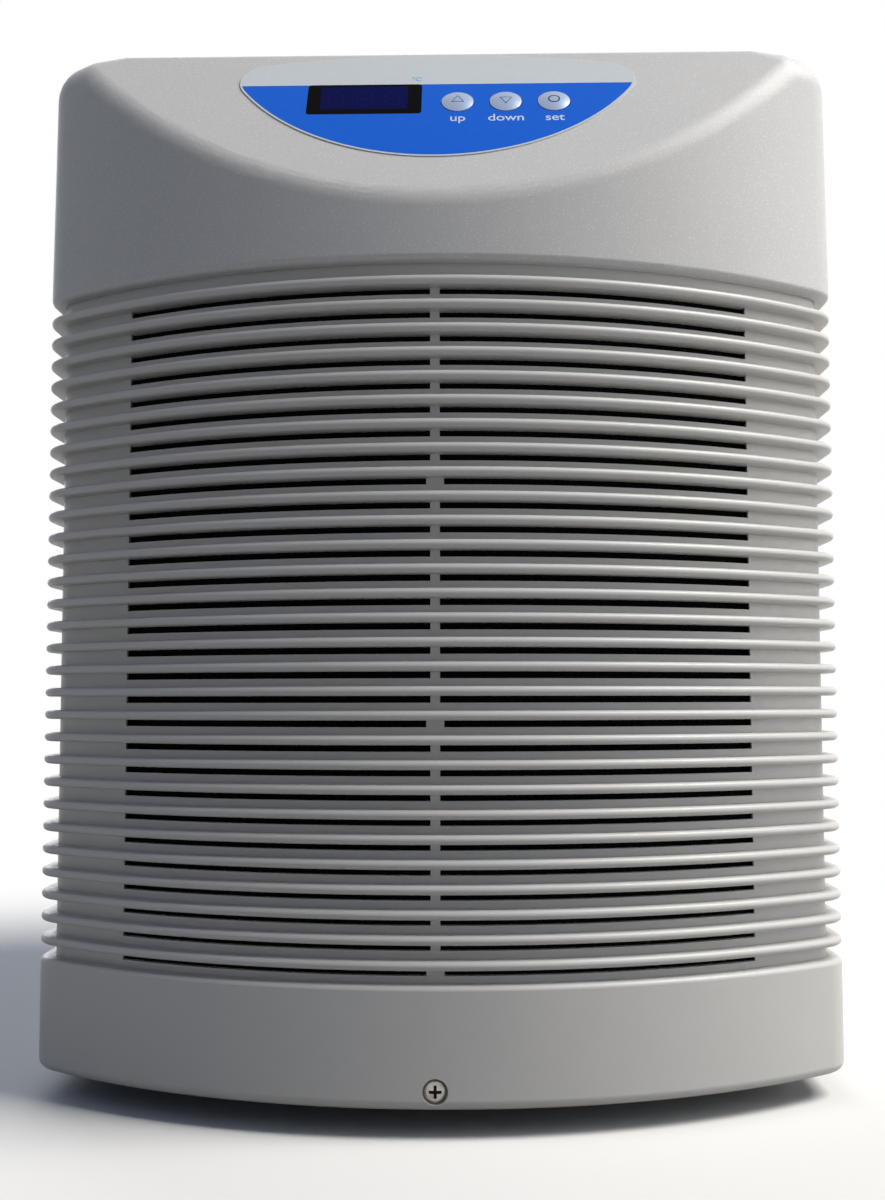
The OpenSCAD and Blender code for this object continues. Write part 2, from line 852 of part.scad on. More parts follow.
module top_hood() {
    color(shell_colour)
        difference() {
            union() {
                difference() {
                    hood_form(0, 32);
                    hood_form(hood_t, 20);
                }
                sweep_front(side_run)
                    translate([hood_rim_r, hood_z]) square([rib_reach - fit_gap - hood_rim_r, lip_t]);
                at_board_corners()
                    raise(-board_depth)
                        cylinder(h = board_depth - hood_t / 2, r = board_boss_r);
            }
            on_slope(-window_x, window_s)
                raise(-hood_t - over)
                    linear_extrude(hood_t + 2 * over) window_shape(tube_fit);
            for (i = [0:2])
                on_slope(button_x + i * button_pitch, button_s)
                    raise(-hood_t - over)
                        cylinder(h = hood_t + 2 * over, r = button_d / 2 + fit_gap);
            at_board_corners()
                raise(-board_depth - over)
                    cylinder(h = board_screw_l, r = board_screw_r + tube_fit);
            at_hood_screws()
                raise(-hood_t - over)
                    cylinder(h = hood_t + 2 * over, r = screw_r + screw_slack);
        }
}

// Places of the screws in the hood's rear skirt, with Z out of the rear
module at_hood_screws() {
    both_sides()
        translate([hood_screw_x, rear_y, hood_z + tongue_h / 2])
            rotate([-90, 0, 0])
                children();
}

module hood_screws() {
    color("silver")
        at_hood_screws()
            domed_screw(head_r, flat_head_h, screw_r, hood_screw_l);
}

// Case shell

// One louvre slot, cut on a slant through a wall that faces +X
module louvre(w) {
    rotate([0, louvre_deg, 0])
        cube([wall_t * 4, w, louvre_h], center = true);
}

// A wall through which slots rise row by row
module louvre_field(w) {
    for (i = [0:louvre_rows - 1])
        raise(louvre_low_z + i * louvre_pitch)
            louvre(w);
}

// The case wall with the hood's tongue and the deck's ledge
module case_section() {
    translate([case_inset, foot_h]) square([wall_t, hood_z - fit_gap - foot_h]);
    translate([hood_t + fit_gap, ledge_z]) square([wall_t, hood_z + tongue_h - ledge_z]);
    translate([case_inset + wall_t / 2, ledge_z]) square([ledge_w, wall_t]);
}

module case_shell() {
    case_y = grille_end_y + fit_gap;
    behind_u = grille_u + fit_gap;
    side_low_z = pan_z + pan_rim_h + fit_gap;
    color(shell_colour)
        difference() {
            union() {
                sweep_rear(case_y) case_section();
                both_sides() {
                    translate([half_w - behind_u - wall_t, case_y, side_low_z])
                        cube([behind_u + wall_t - case_inset, wall_t, ledge_z + wall_t - side_low_z]);
                    translate([half_w - behind_u - wall_t, grille_end_y - tongue_h, side_low_z])
                        cube([wall_t, tongue_h + fit_gap + wall_t, ledge_z + wall_t - side_low_z]);
                }
                at_hood_screws()
                    raise(-hood_t - fit_gap - hood_boss_l)
                        cylinder(h = hood_boss_l, r = hood_boss_r);
            }
            both_sides()
                for (y = louvre_ys)
                    translate([half_w - case_inset - wall_t / 2, y]) louvre_field(louvre_w);
            translate([-comp_x, rear_y - case_inset - wall_t / 2])
                rotate(90)
                    louvre_field(louvre_w);
            for (z = [port_low, port_high])
                translate([tank_x, rear_y - case_inset - wall_t - over, floor_z + z])
                    rotate([-90, 0, 0])
                        cylinder(h = wall_t + 2 * over, r = stub_r + fit_gap);
            translate([-inlet_x, rear_y + over, floor_z + inlet_z])
                rotate([90, 0, 0])
                    linear_extrude(case_inset + wall_t + 2 * over)
                        round_rect(inlet_w + 2 * tube_fit, inlet_h + 2 * tube_fit, inlet_edge_r);
            at_inlet_screws()
                raise(-wall_t - over)
                    cylinder(h = wall_t + 2 * over, r = small_screw_r + tube_fit);
            at_hood_screws()
                raise(-hood_screw_l - over)
                    cylinder(h = hood_screw_l + over, r = screw_r + tube_fit);
            at_case_screws()
                raise(-wall_t - over)
                    cylinder(h = wall_t + 2 * over, r = screw_r + screw_slack);
        }
}

// Places of the screws from the case into the pan, with Z out of the side faces
module at_case_screws() {
    both_sides()
        for (y = case_screw_ys)
            translate([half_w - case_inset, y, pan_z + pan_rim_h / 2])
                rotate([0, 90, 0])
                    children();
}

module case_screws() {
    color("silver")
        at_case_screws()
            domed_screw(head_r, flat_head_h, screw_r, case_screw_l);
}

// Base pan and feet

// Places of the four feet, at the height of the pan's underside
module at_feet() {
    both_sides()
        for (y = [front_y + feet_front, rear_y - feet_rear])
            translate([feet_w / 2, y, pan_z]) children();
}

// Places of the compressor's four studs
module at_studs() {
    for (x = [-1, 1], y = [-1, 1])
        translate([-comp_x + x * stud_span / 2, comp_y + y * stud_span / 2, floor_z]) children();
}

module base_pan() {
    color(dark_colour)
        difference() {
            union() {
                raise(pan_z)
                    difference() {
                        plan_plate(pan_inset, pan_rim_h);
                        raise(wall_t) plan_plate(pan_inset + pan_rim_t, pan_rim_h);
                    }
                translate([0, front_y + pan_inset + pan_rim_t / 2, grille_screw_z])
                    rotate([-90, 0, 0])
                        cylinder(h = grille_screw_l - pan_inset, r = boss_r - over);
                at_case_screws()
                    raise(-case_screw_l - over)
                        cylinder(h = case_screw_l + over - wall_t - fit_gap - pan_rim_t / 2, r = boss_r);
            }
            translate([0, front_y + pan_inset - over, grille_screw_z])
                rotate([-90, 0, 0])
                    cylinder(h = grille_screw_l + over, r = screw_r + tube_fit);
            at_case_screws()
                raise(-case_screw_l - 2 * over)
                    cylinder(h = case_screw_l + over, r = screw_r + tube_fit);
            at_feet()
                raise(-over)
                    cylinder(h = wall_t + 2 * over, r = screw_r + tube_fit);
            at_studs()
                raise(-wall_t - over)
                    cylinder(h = wall_t + 2 * over, r = stud_r + tube_fit);
        }
}

module rubber_feet() {
    foot_r = foot_d / 2;
    color("darkslategray")
        at_feet()
            raise(-pan_z)
                rotate_extrude()
                    polygon([[screw_r + screw_slack, foot_seat_z], [head_r + over, foot_seat_z], [head_r + over, 0],
                        [foot_r - foot_taper, 0], [foot_r - foot_taper / 2, foot_h - over], [foot_r, foot_h - over],
                        [foot_r, pan_z], [screw_r + screw_slack, pan_z]]);
}

module feet_screws() {
    color("silver")
        at_feet()
            raise(foot_seat_z - pan_z)
                rotate([180, 0, 0])
                    domed_screw(head_r, head_h, screw_r, pan_z + wall_t - foot_seat_z);
}

// Control panel

module overlay_shape() {
    difference() {
        offset(r = overlay_end_r)
            offset(delta = -overlay_end_r)
                intersection() {
                    translate([0, overlay_low + overlay_low_r]) circle(overlay_low_r);
                    translate([0, overlay_top - overlay_up_r]) circle(overlay_up_r, $fn = overlay_steps);
                }
        translate([-window_x, window_s]) window_shape(tube_fit);
        for (i = [0:2])
            translate([button_x + i * button_pitch, button_s]) circle(button_d / 2 + fit_gap);
    }
}

module control_overlay() {
    color("royalblue")
        on_slope(0, 0)
            linear_extrude(overlay_t) overlay_shape();
}

// The window fills its cut-out and is held by a rim behind the hood
module display_window() {
    seat = 2 * tube_fit;
    color("midnightblue")
        on_slope(-window_x, window_s) {
            raise(-hood_t - seat) linear_extrude(hood_t + seat + overlay_t) window_shape(0);
            raise(-hood_t - seat - window_rim_t) linear_extrude(window_rim_t) window_shape(window_rim);
        }
}

// One button with a domed face, a flange behind the hood and a stem towards its switch
module button(i) {
    r = button_d / 2;
    dome_r = (r * r + button_dome * button_dome) / (2 * button_dome);
    stem_l = board_depth - switch_h - button_travel - 2 * fit_gap;
    color("lightgray")
        on_slope(button_x + i * button_pitch, button_s) {
            intersection() {
                raise(-hood_t - fit_gap - button_back_t)
                    cylinder(h = hood_t + fit_gap + button_back_t + button_out, r = r);
                raise(button_out - dome_r) sphere(dome_r);
            }
            raise(-hood_t - fit_gap - button_back_t)
                cylinder(h = button_back_t, r = r + button_flange);
            raise(-stem_l) cylinder(h = stem_l - hood_t, r = button_stem_r);
        }
}

module button_up() {
    button(0);
}

module button_down() {
    button(1);
}

module button_set() {
    button(2);
}

// Control board behind the slope, with what it carries

module control_board() {
    color("seagreen")
        difference() {
            on_slope(0, board_s)
                raise(-board_depth - board_t)
                    linear_extrude(board_t) square([board_w, board_h], center = true);
            at_board_corners()
                raise(-board_depth - board_t - over)
                    cylinder(h = board_t + 2 * over, r = board_screw_r + tube_fit);
        }
}

module display_module() {
    color("black")
        on_slope(-window_x, window_s)
            difference() {
                translate([-module_w / 2, -module_h / 2, -board_depth])
                    cube([module_w, module_h, board_depth - hood_t - window_rim_t - fit_gap]);
                for (i = [-1:1])
                    translate([i * module_w / 3, 0, -hood_t - window_rim_t - fit_gap - segment_sink])
                        linear_extrude(over)
                            digit_shape();
            }
}

// Seven segments of one digit
module digit_shape() {
    for (y = [-1, 0, 1])
        translate([-digit_w / 2, y * digit_h / 2 - segment_w / 2]) square([digit_w, segment_w]);
    for (x = [-1, 1], y = [-1, 1])
        translate([x * (digit_w / 2 + segment_w) - segment_w / 2, y * digit_h / 4 - digit_h / 6])
            square([segment_w, digit_h / 3]);
}

module tact_switches() {
    color("dimgray")
        for (i = [0:2])
            on_slope(button_x + i * button_pitch, button_s)
                raise(-board_depth) {
                    translate([-switch_w / 2, -switch_w / 2, 0]) cube([switch_w, switch_w, switch_body_h]);
                    cylinder(h = switch_h, r = button_stem_r);
                }
}

module board_screws() {
    color("silver")
        at_board_corners()
            raise(-board_depth - board_t)
                rotate([180, 0, 0])
                    domed_screw(board_boss_r, flat_head_h, board_screw_r, board_screw_l - over);
}

// Air filter behind the grille

module air_filter() {
    color("black")
        bow_sector(filter_r, filter_r - filter_t, filter_deg, band_top_z + skin, filter_top_z);
}

// The frame that backs the foam: a border, a middle post and cross bars
module filter_frame() {
    bar_deg = asin(frame_bar_w / frame_r);
    low = band_top_z;
    high = filter_top_z;
    bay_h = (high - low - frame_bar_w) / frame_bays;
    color(dark_colour)
        difference() {
            bow_sector(frame_r, frame_in_r, filter_deg, low, high);
            for (side = [-1, 1], i = [0:frame_bays - 1])
                translate([0, bow_y])
                    rotate(side * filter_deg / 2)
                        translate([0, -bow_y])
                            bow_sector(frame_r + over, frame_in_r - over, (filter_deg - bar_deg) / 2,
                                low + frame_bar_w + i * bay_h, low + (i + 1) * bay_h);
        }
}

// Condenser

// Ends of the tubes at one side, a child at each row and column
module at_tubes() {
    for (row = [0:tube_rows - 1], col = [0, 1])
        translate([0, col_y + col * col_pitch, tubes_z + row * row_pitch])
            rotate([0, 90, 0])
                children();
}

module condenser_fins() {
    pitch = (fins_w - fin_t) / (fin_count - 1);
    color("silver")
        difference() {
            for (i = [0:fin_count - 1])
                translate([i * pitch - fins_w / 2, condenser_y, fins_low_z]) cube([fin_t, fins_d, fins_h]);
            at_tubes()
                raise(-fins_w / 2 - over)
                    cylinder(h = fins_w + 2 * over, r = tube_d / 2 + tube_fit);
        }
}

// A half ring towards +X that joins two tube ends
module return_bend(span) {
    rotate([90, 0, 0])
        rotate(-90)
            rotate_extrude(angle = 180)
                translate([span / 2, 0]) circle(tube_d / 2);
}

module condenser_tubes() {
    run = tube_end_x;
    color("darkgoldenrod") {
        at_tubes() raise(-run) cylinder(h = 2 * run, r = tube_d / 2);
        for (col = [0, 1]) {
            y = col_y + col * col_pitch;
            for (row = [0:2:tube_rows - 2])
                translate([run, y, tubes_z + (row + 0.5) * row_pitch]) return_bend(row_pitch);
            for (row = [1:2:tube_rows - 3])
                translate([-run, y, tubes_z + (row + 0.5) * row_pitch]) mirror([1, 0, 0]) return_bend(row_pitch);
        }
        translate([-run, col_y + col_pitch / 2, tubes_z])
            mirror([1, 0, 0])
                rotate([90, 0, 0])
                    return_bend(col_pitch);
    }
}

// Two channels that stand on the pan and carry the tubes
module condenser_end_plates() {
    plate_h = fins_top_z - floor_z + end_plate_t;
    color("lightsteelblue")
        difference() {
            both_sides() {
                translate([fins_w / 2, condenser_y, floor_z]) cube([end_plate_t, fins_d, plate_h]);
                for (y = [condenser_y, condenser_y + fins_d - end_plate_t])
                    translate([fins_w / 2, y, floor_z]) cube([end_flange_w, end_plate_t, plate_h]);
                translate([fins_w / 2, condenser_y, floor_z]) cube([end_flange_w, fins_d, end_plate_t]);
            }
            at_tubes()
                raise(-end_x - over)
                    cylinder(h = 2 * (end_x + over), r = tube_d / 2 + tube_fit);
        }
}

// Fan

// Lays a piece that is drawn about Z along the fan's axis, with +Z to the front
module on_fan(y) {
    translate([0, y, fan_z])
        rotate([90, 0, 0])
            children();
}

module fan_shroud() {
    shroud_w = 2 * (fins_w / 2 + end_flange_w);
    shroud_h = fins_top_z + end_plate_t - floor_z;
    color(dark_colour)
        difference() {
            union() {
                translate([-shroud_w / 2, shroud_y, floor_z]) cube([shroud_w, shroud_d + shroud_t, shroud_h]);
                on_fan(plate_y + shroud_t + ring_d) cylinder(h = ring_d + shroud_t / 2, r = ring_r + shroud_t);
            }
            translate([shroud_t - shroud_w / 2, shroud_y - over, floor_z + shroud_t])
                cube([shroud_w - 2 * shroud_t, shroud_d + over, shroud_h - 2 * shroud_t]);
            on_fan(plate_y + shroud_t + ring_d + over) cylinder(h = ring_d + shroud_t + 2 * over, r = ring_r);
        }
}

// Four arms that stand on the shroud's plate and carry the motor
module fan_bracket() {
    leg_x = ring_r + shroud_t + 2 * arm_t;
    foot_y = plate_y + shroud_t;
    color("lightsteelblue")
        difference() {
            on_fan(bracket_y + arm_t) {
                cylinder(h = arm_t, r = motor_d / 2);
                for (a = [45, 135])
                    rotate(a) {
                        translate([-leg_x, -arm_w / 2, arm_rim]) cube([2 * leg_x, arm_w, arm_t - 2 * arm_rim]);
                        for (x = [-leg_x, leg_x - arm_t])
                            translate([x, -arm_w / 2, arm_rim]) cube([arm_t, arm_w, bracket_y + arm_t - arm_rim - foot_y]);
                        for (x = [-leg_x - arm_w, leg_x - arm_t])
                            translate([x, -arm_w / 2, bracket_y - foot_y]) cube([arm_w + arm_t, arm_w, arm_t]);
                    }
            }
            on_fan(bracket_y + arm_t + over)
                cylinder(h = arm_t + 2 * over, r = motor_boss_r + tube_fit);
        }
}

module fan_motor() {
    r = motor_d / 2;
    color("slategray")
        on_fan(motor_y + motor_l)
            difference() {
                union() {
                    rotate_extrude()
                        polygon([[0, 0], [r * bell_share, 0], [r, r - r * bell_share], [r, motor_l - (r - r * bell_share)],
                            [r * bell_share, motor_l], [motor_boss_r, motor_l],
                            [motor_boss_r, motor_l + arm_t + motor_boss_out], [0, motor_l + arm_t + motor_boss_out]]);
                    for (a = [0:30:330])
                        rotate(a)
                            translate([r - over, -motor_rib_t / 2, motor_l / 4])
                                cube([motor_rib_t + over, motor_rib_t, motor_l / 2]);
                }
                raise(motor_l / 3)
                    cylinder(h = motor_l + arm_t + motor_boss_out, r = shaft_d / 2 + bearing_gap);
            }
}

module fan_shaft() {
    color("silver")
        on_fan(motor_y + motor_l * 2 / 3 - 2 * bearing_gap)
            cylinder(h = motor_y + motor_l * 2 / 3 - 2 * bearing_gap - fan_y + hub_l / 2 + shaft_out, r = shaft_d / 2);
}

// One blade: a curved sheet, pitched about its line out of the hub
module blade() {
    intersection() {
        difference() {
            raise(-ring_d) cylinder(h = 2 * ring_d, r = fan_d / 2);
            raise(-ring_d - over) cylinder(h = 2 * (ring_d + over), r = (hub_d - hub_t) / 2);
        }
        rotate([blade_deg, 0, 0])
            intersection() {
                raise(-blade_bend_r)
                    rotate([0, 90, 0])
                        difference() {
                            cylinder(h = fan_d / 2 + over, r = blade_bend_r + blade_t / 2);
                            raise(-over)
                                cylinder(h = fan_d / 2 + 3 * over, r = blade_bend_r - blade_t / 2);
                        }
                translate([0, -blade_chord / 2, -ring_d]) cube([fan_d / 2 + over, blade_chord, 2 * ring_d]);
            }
    }
}

module fan_rotor() {
    color("black")
        on_fan(fan_y) {
            difference() {
                raise(-hub_l / 2) cylinder(h = hub_l, r = hub_d / 2);
                raise(-hub_l / 2 - over) cylinder(h = hub_l - hub_t + over, r = hub_d / 2 - hub_t);
                cylinder(h = hub_l, r = shaft_d / 2 + shaft_fit);
            }
            difference() {
                raise(-hub_l / 2) cylinder(h = hub_l - hub_t / 2, r = shaft_d / 2 + hub_t);
                raise(-hub_l) cylinder(h = 2 * hub_l, r = shaft_d / 2 + shaft_fit);
            }
            for (i = [0:blade_count - 1])
                rotate(i * 360 / blade_count) blade();
        }
}

// Compressor

// A cylinder closed by two domes, with weld bead, plate and pipe stubs
module compressor() {
    color("black")
        difference() {
            union() {
                translate([-comp_x, comp_y, comp_shell_z]) {
                    cylinder(h = comp_h, r = comp_r);
                    raise(comp_h * weld_share) cylinder(h = weld_h, r = comp_r + weld_out);
                    intersection() {
                        raise(comp_h + comp_dome_h - comp_dome_r) sphere(comp_dome_r);
                        raise(comp_h / 2) cylinder(h = comp_h, r = comp_r);
                    }
                    intersection() {
                        raise(comp_dome_r - comp_dome_h) sphere(comp_dome_r);
                        raise(-comp_h / 2) cylinder(h = comp_h, r = comp_r);
                    }
                }
                translate([-comp_x - comp_plate_w / 2, comp_y - comp_plate_w / 2, comp_low_z])
                    cube([comp_plate_w, comp_plate_w, plate_t]);
                translate([stubs_x, discharge_y, comp_shell_z + comp_h / 2])
                    cylinder(h = stub_z - comp_shell_z - comp_h / 2, r = comp_stub_r);
                translate([stubs_x, suction_y, comp_shell_z + comp_h / 2])
                    cylinder(h = stub_z - comp_shell_z - comp_h / 2, r = comp_stub_r);
            }
            at_studs()
                raise(grommet_h - over)
                    cylinder(h = plate_t + 2 * over, r = stud_r + stud_slack);
        }
}

module terminal_cover() {
    color("dimgray")
        translate([-comp_x - cover_w / 2, comp_y - comp_r - cover_d, comp_shell_z + cover_low])
            difference() {
                cube([cover_w, cover_d + comp_r / 2, cover_h]);
                translate([cover_w / 2, cover_d + comp_r, -over]) cylinder(h = cover_h + 2 * over, r = comp_r + tube_fit);
                translate([wall_t, wall_t, wall_t])
                    cube([cover_w - 2 * wall_t, cover_d + comp_r, cover_h - 2 * wall_t]);
            }
}

module compressor_grommets() {
    color("darkslategray")
        at_studs()
            difference() {
                union() {
                    cylinder(h = grommet_h, r = grommet_r);
                    cylinder(h = grommet_h / 3, r = grommet_r + over);
                }
                raise(-over) cylinder(h = grommet_h + 2 * over, r = stud_r + tube_fit);
            }
}

module compressor_bolts() {
    color("silver")
        at_studs() {
            raise(-wall_t) cylinder(h = wall_t + grommet_h + plate_t + nut_h, r = stud_r);
            raise(grommet_h + plate_t) cylinder(h = nut_h, r = stud_r * 2, $fn = 6);
        }
}

// Heat exchanger

module heat_tank() {
    r = tank_d / 2;
    color("whitesmoke")
        difference() {
            union() {
                translate([tank_x, tank_y, floor_z]) {
                    cylinder(h = tank_h, r = r);
                    cylinder(h = lid_t, r = r + tank_flange_w);
                    raise(tank_h - lid_t) cylinder(h = lid_t, r = r + tank_flange_w);
                }
                for (z = [port_low, port_high])
                    translate([tank_x, tank_y, floor_z + z])
                        rotate([-90, 0, 0])
                            cylinder(h = rear_y + stub_out - tank_y, r = stub_r);
            }
            translate([tank_x, tank_y, floor_z + lid_t]) cylinder(h = tank_h, r = r - tank_t);
            for (z = [port_low, port_high])
                translate([tank_x, tank_y, floor_z + z])
                    rotate([-90, 0, 0])
                        cylinder(h = rear_y + stub_out - tank_y + over, r = stub_r - tank_t);
            at_tank_screws()
                raise(-tank_screw_l - over)
                    cylinder(h = tank_screw_l + over, r = screw_r + tube_fit);
        }
}

// Places of the screws round the tank's lid, at its upper face
module at_tank_screws() {
    for (i = [0:tank_screw_count - 1])
        translate([tank_x, tank_y, tank_top_z + lid_t])
            rotate((i + 0.5) * 360 / tank_screw_count)
                translate([(tank_d + tank_flange_w) / 2, 0])
                    children();
}

module tank_screws() {
    color("silver")
        at_tank_screws()
            domed_screw(tank_head_r, head_h, screw_r, tank_screw_l);
}

module tank_lid() {
    color("whitesmoke")
        difference() {
            union() {
                translate([tank_x, tank_y, tank_top_z]) cylinder(h = lid_t, r = tank_d / 2 + tank_flange_w);
                for (p = [coil_in, coil_out, sensor_at])
                    translate([tank_x + p[0], tank_y + p[1], tank_top_z]) cylinder(h = 2 * lid_t, r = gland_r);
            }
            for (p = [coil_in, coil_out, sensor_at])
                translate([tank_x + p[0], tank_y + p[1], tank_top_z - over])
                    cylinder(h = 2 * lid_t + 2 * over, r = coil_tube_d / 2 + fit_gap / 2);
            at_tank_screws()
                raise(-lid_t - over) cylinder(h = lid_t + 2 * over, r = screw_r + tube_fit);
        }
}

module temp_sensor() {
    color("darkgoldenrod")
        translate([tank_x + sensor_at[0], tank_y + sensor_at[1], tank_top_z - sensor_l]) {
            cylinder(h = sensor_l + 2 * lid_t, r = coil_tube_d / 2);
            raise(sensor_l + 2 * lid_t) cylinder(h = lid_t, r = gland_r - over);
        }
}

function coil_place(p) = [p[0] * cos(p[1]), p[0] * sin(p[1]), p[2]];
function unit(v) = v / norm(v);

// One ring of points round the coil's centre line
function coil_ring(j) =
    let (last = len(coil_line) - 1,
        a = coil_place(coil_line[max(j - 1, 0)]),
        b = coil_place(coil_line[min(j + 1, last)]),
        t = unit(b - a),
        out = [cos(coil_line[j][1]), sin(coil_line[j][1]), 0],
        n = unit(out - (out * t) * t),
        side = cross(t, n))
    [for (i = [0:coil_sides - 1])
        coil_place(coil_line[j]) + coil_tube_d / 2 * (cos(360 * i / coil_sides) * n + sin(360 * i / coil_sides) * side)];

module titanium_coil() {
    rings = len(coil_line);
    m = coil_sides;
    points = [for (j = [0:rings - 1]) each coil_ring(j)];
    faces = concat(
        [[for (i = [0:m - 1]) i]],
        [for (j = [0:rings - 2], i = [0:m - 1]) [j * m + i, (j + 1) * m + i, (j + 1) * m + (i + 1) % m]],
        [for (j = [0:rings - 2], i = [0:m - 1]) [j * m + i, (j + 1) * m + (i + 1) % m, j * m + (i + 1) % m]],
        [[for (i = [m - 1:-1:0]) (rings - 1) * m + i]]);
    color("slategray")
        translate([tank_x, tank_y]) polyhedron(points, faces);
}

// Refrigerant pipes

module discharge_pipe() {
    color("darkgoldenrod")
        pipe(pipe_r, pipe_bend, [[stubs_x, discharge_y, stub_z], [stubs_x, discharge_y, gas_z],
            [pipe_x, discharge_y, gas_z], [pipe_x, col_y, gas_z], [pipe_x, col_y, tubes_top],
            [-tube_end_x, col_y, tubes_top]]);
}

module liquid_pipe() {
    y = col_y + col_pitch;
    color("darkgoldenrod")
        pipe(pipe_r, pipe_bend, [[-tube_end_x, y, tubes_top], [pipe_x, y, tubes_top], [pipe_x, drier_y, tubes_top]]);
}

module filter_drier() {
    color("darkgoldenrod")
        translate([pipe_x, drier_y, tubes_top])
            rotate([-90, 0, 0])
                rotate_extrude()
                    polygon([[0, 0], [pipe_r, 0], [drier_r, drier_neck], [drier_r, drier_l - drier_neck],
                        [pipe_r, drier_l], [0, drier_l]]);
}

module capillary_tube() {
    y = tank_y + capillary_off;
    high = max(tubes_top, coil_end_z + capillary_rise);
    color("darkgoldenrod")
        pipe(capillary_r, capillary_bend, [[pipe_x, drier_y + drier_l, tubes_top], [pipe_x, y, tubes_top],
            [tank_x + coil_in[0], y, high], [tank_x + coil_in[0], tank_y, high],
            [tank_x + coil_in[0], tank_y, coil_end_z]]);
}

module suction_pipe() {
    coil_out_x = tank_x + coil_out[0];
    color("darkgoldenrod")
        pipe(pipe_r, pipe_bend, [[coil_out_x, suction_y, coil_end_z], [coil_out_x, suction_y, suction_z],
            [stubs_x, suction_y, suction_z], [stubs_x, suction_y, stub_z]]);
}

// Water ports

// Points a piece that is drawn about Z out of the rear at a port
module at_port(z, out) {
    translate([tank_x, rear_y + out, floor_z + z])
        rotate([-90, 0, 0])
            children();
}

// A hose tail from its flange to its tip, with a row of crests
module hose_tail(z) {
    crest_z = [for (i = [0:crest_count - 1]) tail_lead + i * crest_pitch];
    color("dimgray")
        at_port(z, stub_out)
            rotate_extrude()
                polygon(concat(
                    [[water_r, 0], [stub_r, 0], [stub_r, tail_flange_t], [tail_neck_r, tail_flange_t]],
                    [for (c = crest_z) each [[tail_neck_r, c], [tail_r, c], [tail_r, c + crest_land],
                        [tail_neck_r, c + crest_pitch * crest_share]]],
                    [[tail_neck_r, tail_l], [water_r, tail_l]]));
}

module inlet_tail() {
    hose_tail(port_low);
}

module outlet_tail() {
    hose_tail(port_high);
}

// A six-sided nut that clamps the tail's flange on the stub
module union_nut(z) {
    color("dimgray")
        at_port(z, nut_start)
            difference() {
                union() {
                    cylinder(h = nut_l - nut_collar, r = nut_w / 2 / cos(30), $fn = 6);
                    cylinder(h = nut_l, r = nut_w / 2 - over);
                }
                raise(-over)
                    cylinder(h = stub_out + tail_flange_t + tube_fit - nut_start + over, r = stub_r + tube_fit);
                cylinder(h = nut_l + over, r = tail_r + fit_gap);
            }
}

module inlet_nut() {
    union_nut(port_low);
}

module outlet_nut() {
    union_nut(port_high);
}

module port_seals() {
    color("black")
        for (z = [port_low, port_high])
            at_port(z, -case_inset)
                difference() {
                    cylinder(h = seal_t, r = nut_w / 2);
                    raise(-over) cylinder(h = seal_t + 2 * over, r = stub_r + tube_fit);
                }
}

// Mains inlet

// Places of the inlet's two screws, with Z out of the rear face
module at_inlet_screws() {
    for (x = [-1, 1])
        translate([-inlet_x + x * inlet_screw_span / 2, rear_y - case_inset, floor_z + inlet_z])
            rotate([-90, 0, 0])
                children();
}

module mains_inlet() {
    color("black")
        translate([-inlet_x, rear_y - case_inset, floor_z + inlet_z])
            rotate([-90, 0, 0])
                difference() {
                    union() {
                        linear_extrude(inlet_flange_t) round_rect(inlet_flange_w, inlet_flange_h, inlet_flange_r);
                        raise(inlet_flange_t - socket_d - inlet_back_t)
                            linear_extrude(socket_d + inlet_back_t) round_rect(inlet_w, inlet_h, inlet_edge_r);
                    }
                    raise(inlet_flange_t - socket_d)
                        linear_extrude(socket_d + over) round_rect(socket_w, socket_h, inlet_edge_r);
                    for (x = [-1, 1])
                        translate([x * inlet_screw_span / 2, 0, -over])
                            cylinder(h = inlet_flange_t + 2 * over, r = small_screw_r + screw_slack);
                    pins(tube_fit);
                }
}

// The three flat pins, in the turned frame of the socket, each grown by a distance
module pins(grow) {
    for (p = [[-pin_span, pin_off], [0, -pin_off], [pin_span, pin_off]])
        translate([p[0] - pin_w / 2 - grow, p[1] - pin_h / 2 - grow, inlet_flange_t - socket_d - inlet_back_t - pin_tail])
            cube([pin_w + 2 * grow, pin_h + 2 * grow, pin_tail + inlet_back_t + pin_l]);
}

module inlet_pins() {
    color("silver")
        translate([-inlet_x, rear_y - case_inset, floor_z + inlet_z])
            rotate([-90, 0, 0])
                pins(0);
}

module inlet_screws() {
    color("silver")
        at_inlet_screws()
            raise(inlet_flange_t)
                domed_screw(small_head_r, flat_head_h, small_screw_r, small_screw_l);
}

// Deck over the machine compartment, and the electronics on it

module top_deck() {
    color("lightsteelblue")
        raise(deck_z)
            difference() {
                plan_plate(deck_inset, deck_t);
                for (p = deck_holes)
                    translate([p[0], p[1], -over]) cylinder(h = deck_t + 2 * over, r = cable_hole_r);
            }
}

module power_board() {
    color("seagreen")
        translate([power_x, power_y, deck_z + deck_t]) {
            for (x = [board_edge, power_w - board_edge], y = [board_edge, power_d - board_edge])
                translate([x, y]) cylinder(h = power_lift, r = board_boss_r);
            raise(power_lift) {
                cube([power_w, power_d, board_t]);
                for (i = [0:2])
                    translate([board_edge + i * power_w / 3, power_d / 3, board_t])
                        cube([power_w / 5, power_d / 6, relay_h]);
                translate([power_w / 4, power_d * 2 / 3, board_t]) cylinder(h = relay_h, r = power_d / 10);
                translate([board_edge, power_d - 3 * board_edge, board_t])
                    cube([power_w / 2 - 2 * board_edge, board_edge, relay_h / 2]);
            }
        }
}

module transformer() {
    color("slategray")
        translate([transformer_x, power_y, deck_z + deck_t]) {
            difference() {
                cube([core_w, core_d, core_h]);
                for (x = [core_w / 6, core_w * 2 / 3])
                    translate([x, -over, core_h / 5]) cube([core_w / 6, core_d + 2 * over, core_h * 3 / 5]);
            }
            translate([core_w / 6, -core_d / 6, core_h / 5])
                cube([core_w * 2 / 3, core_d * 4 / 3, core_h * 3 / 5]);
        }
}

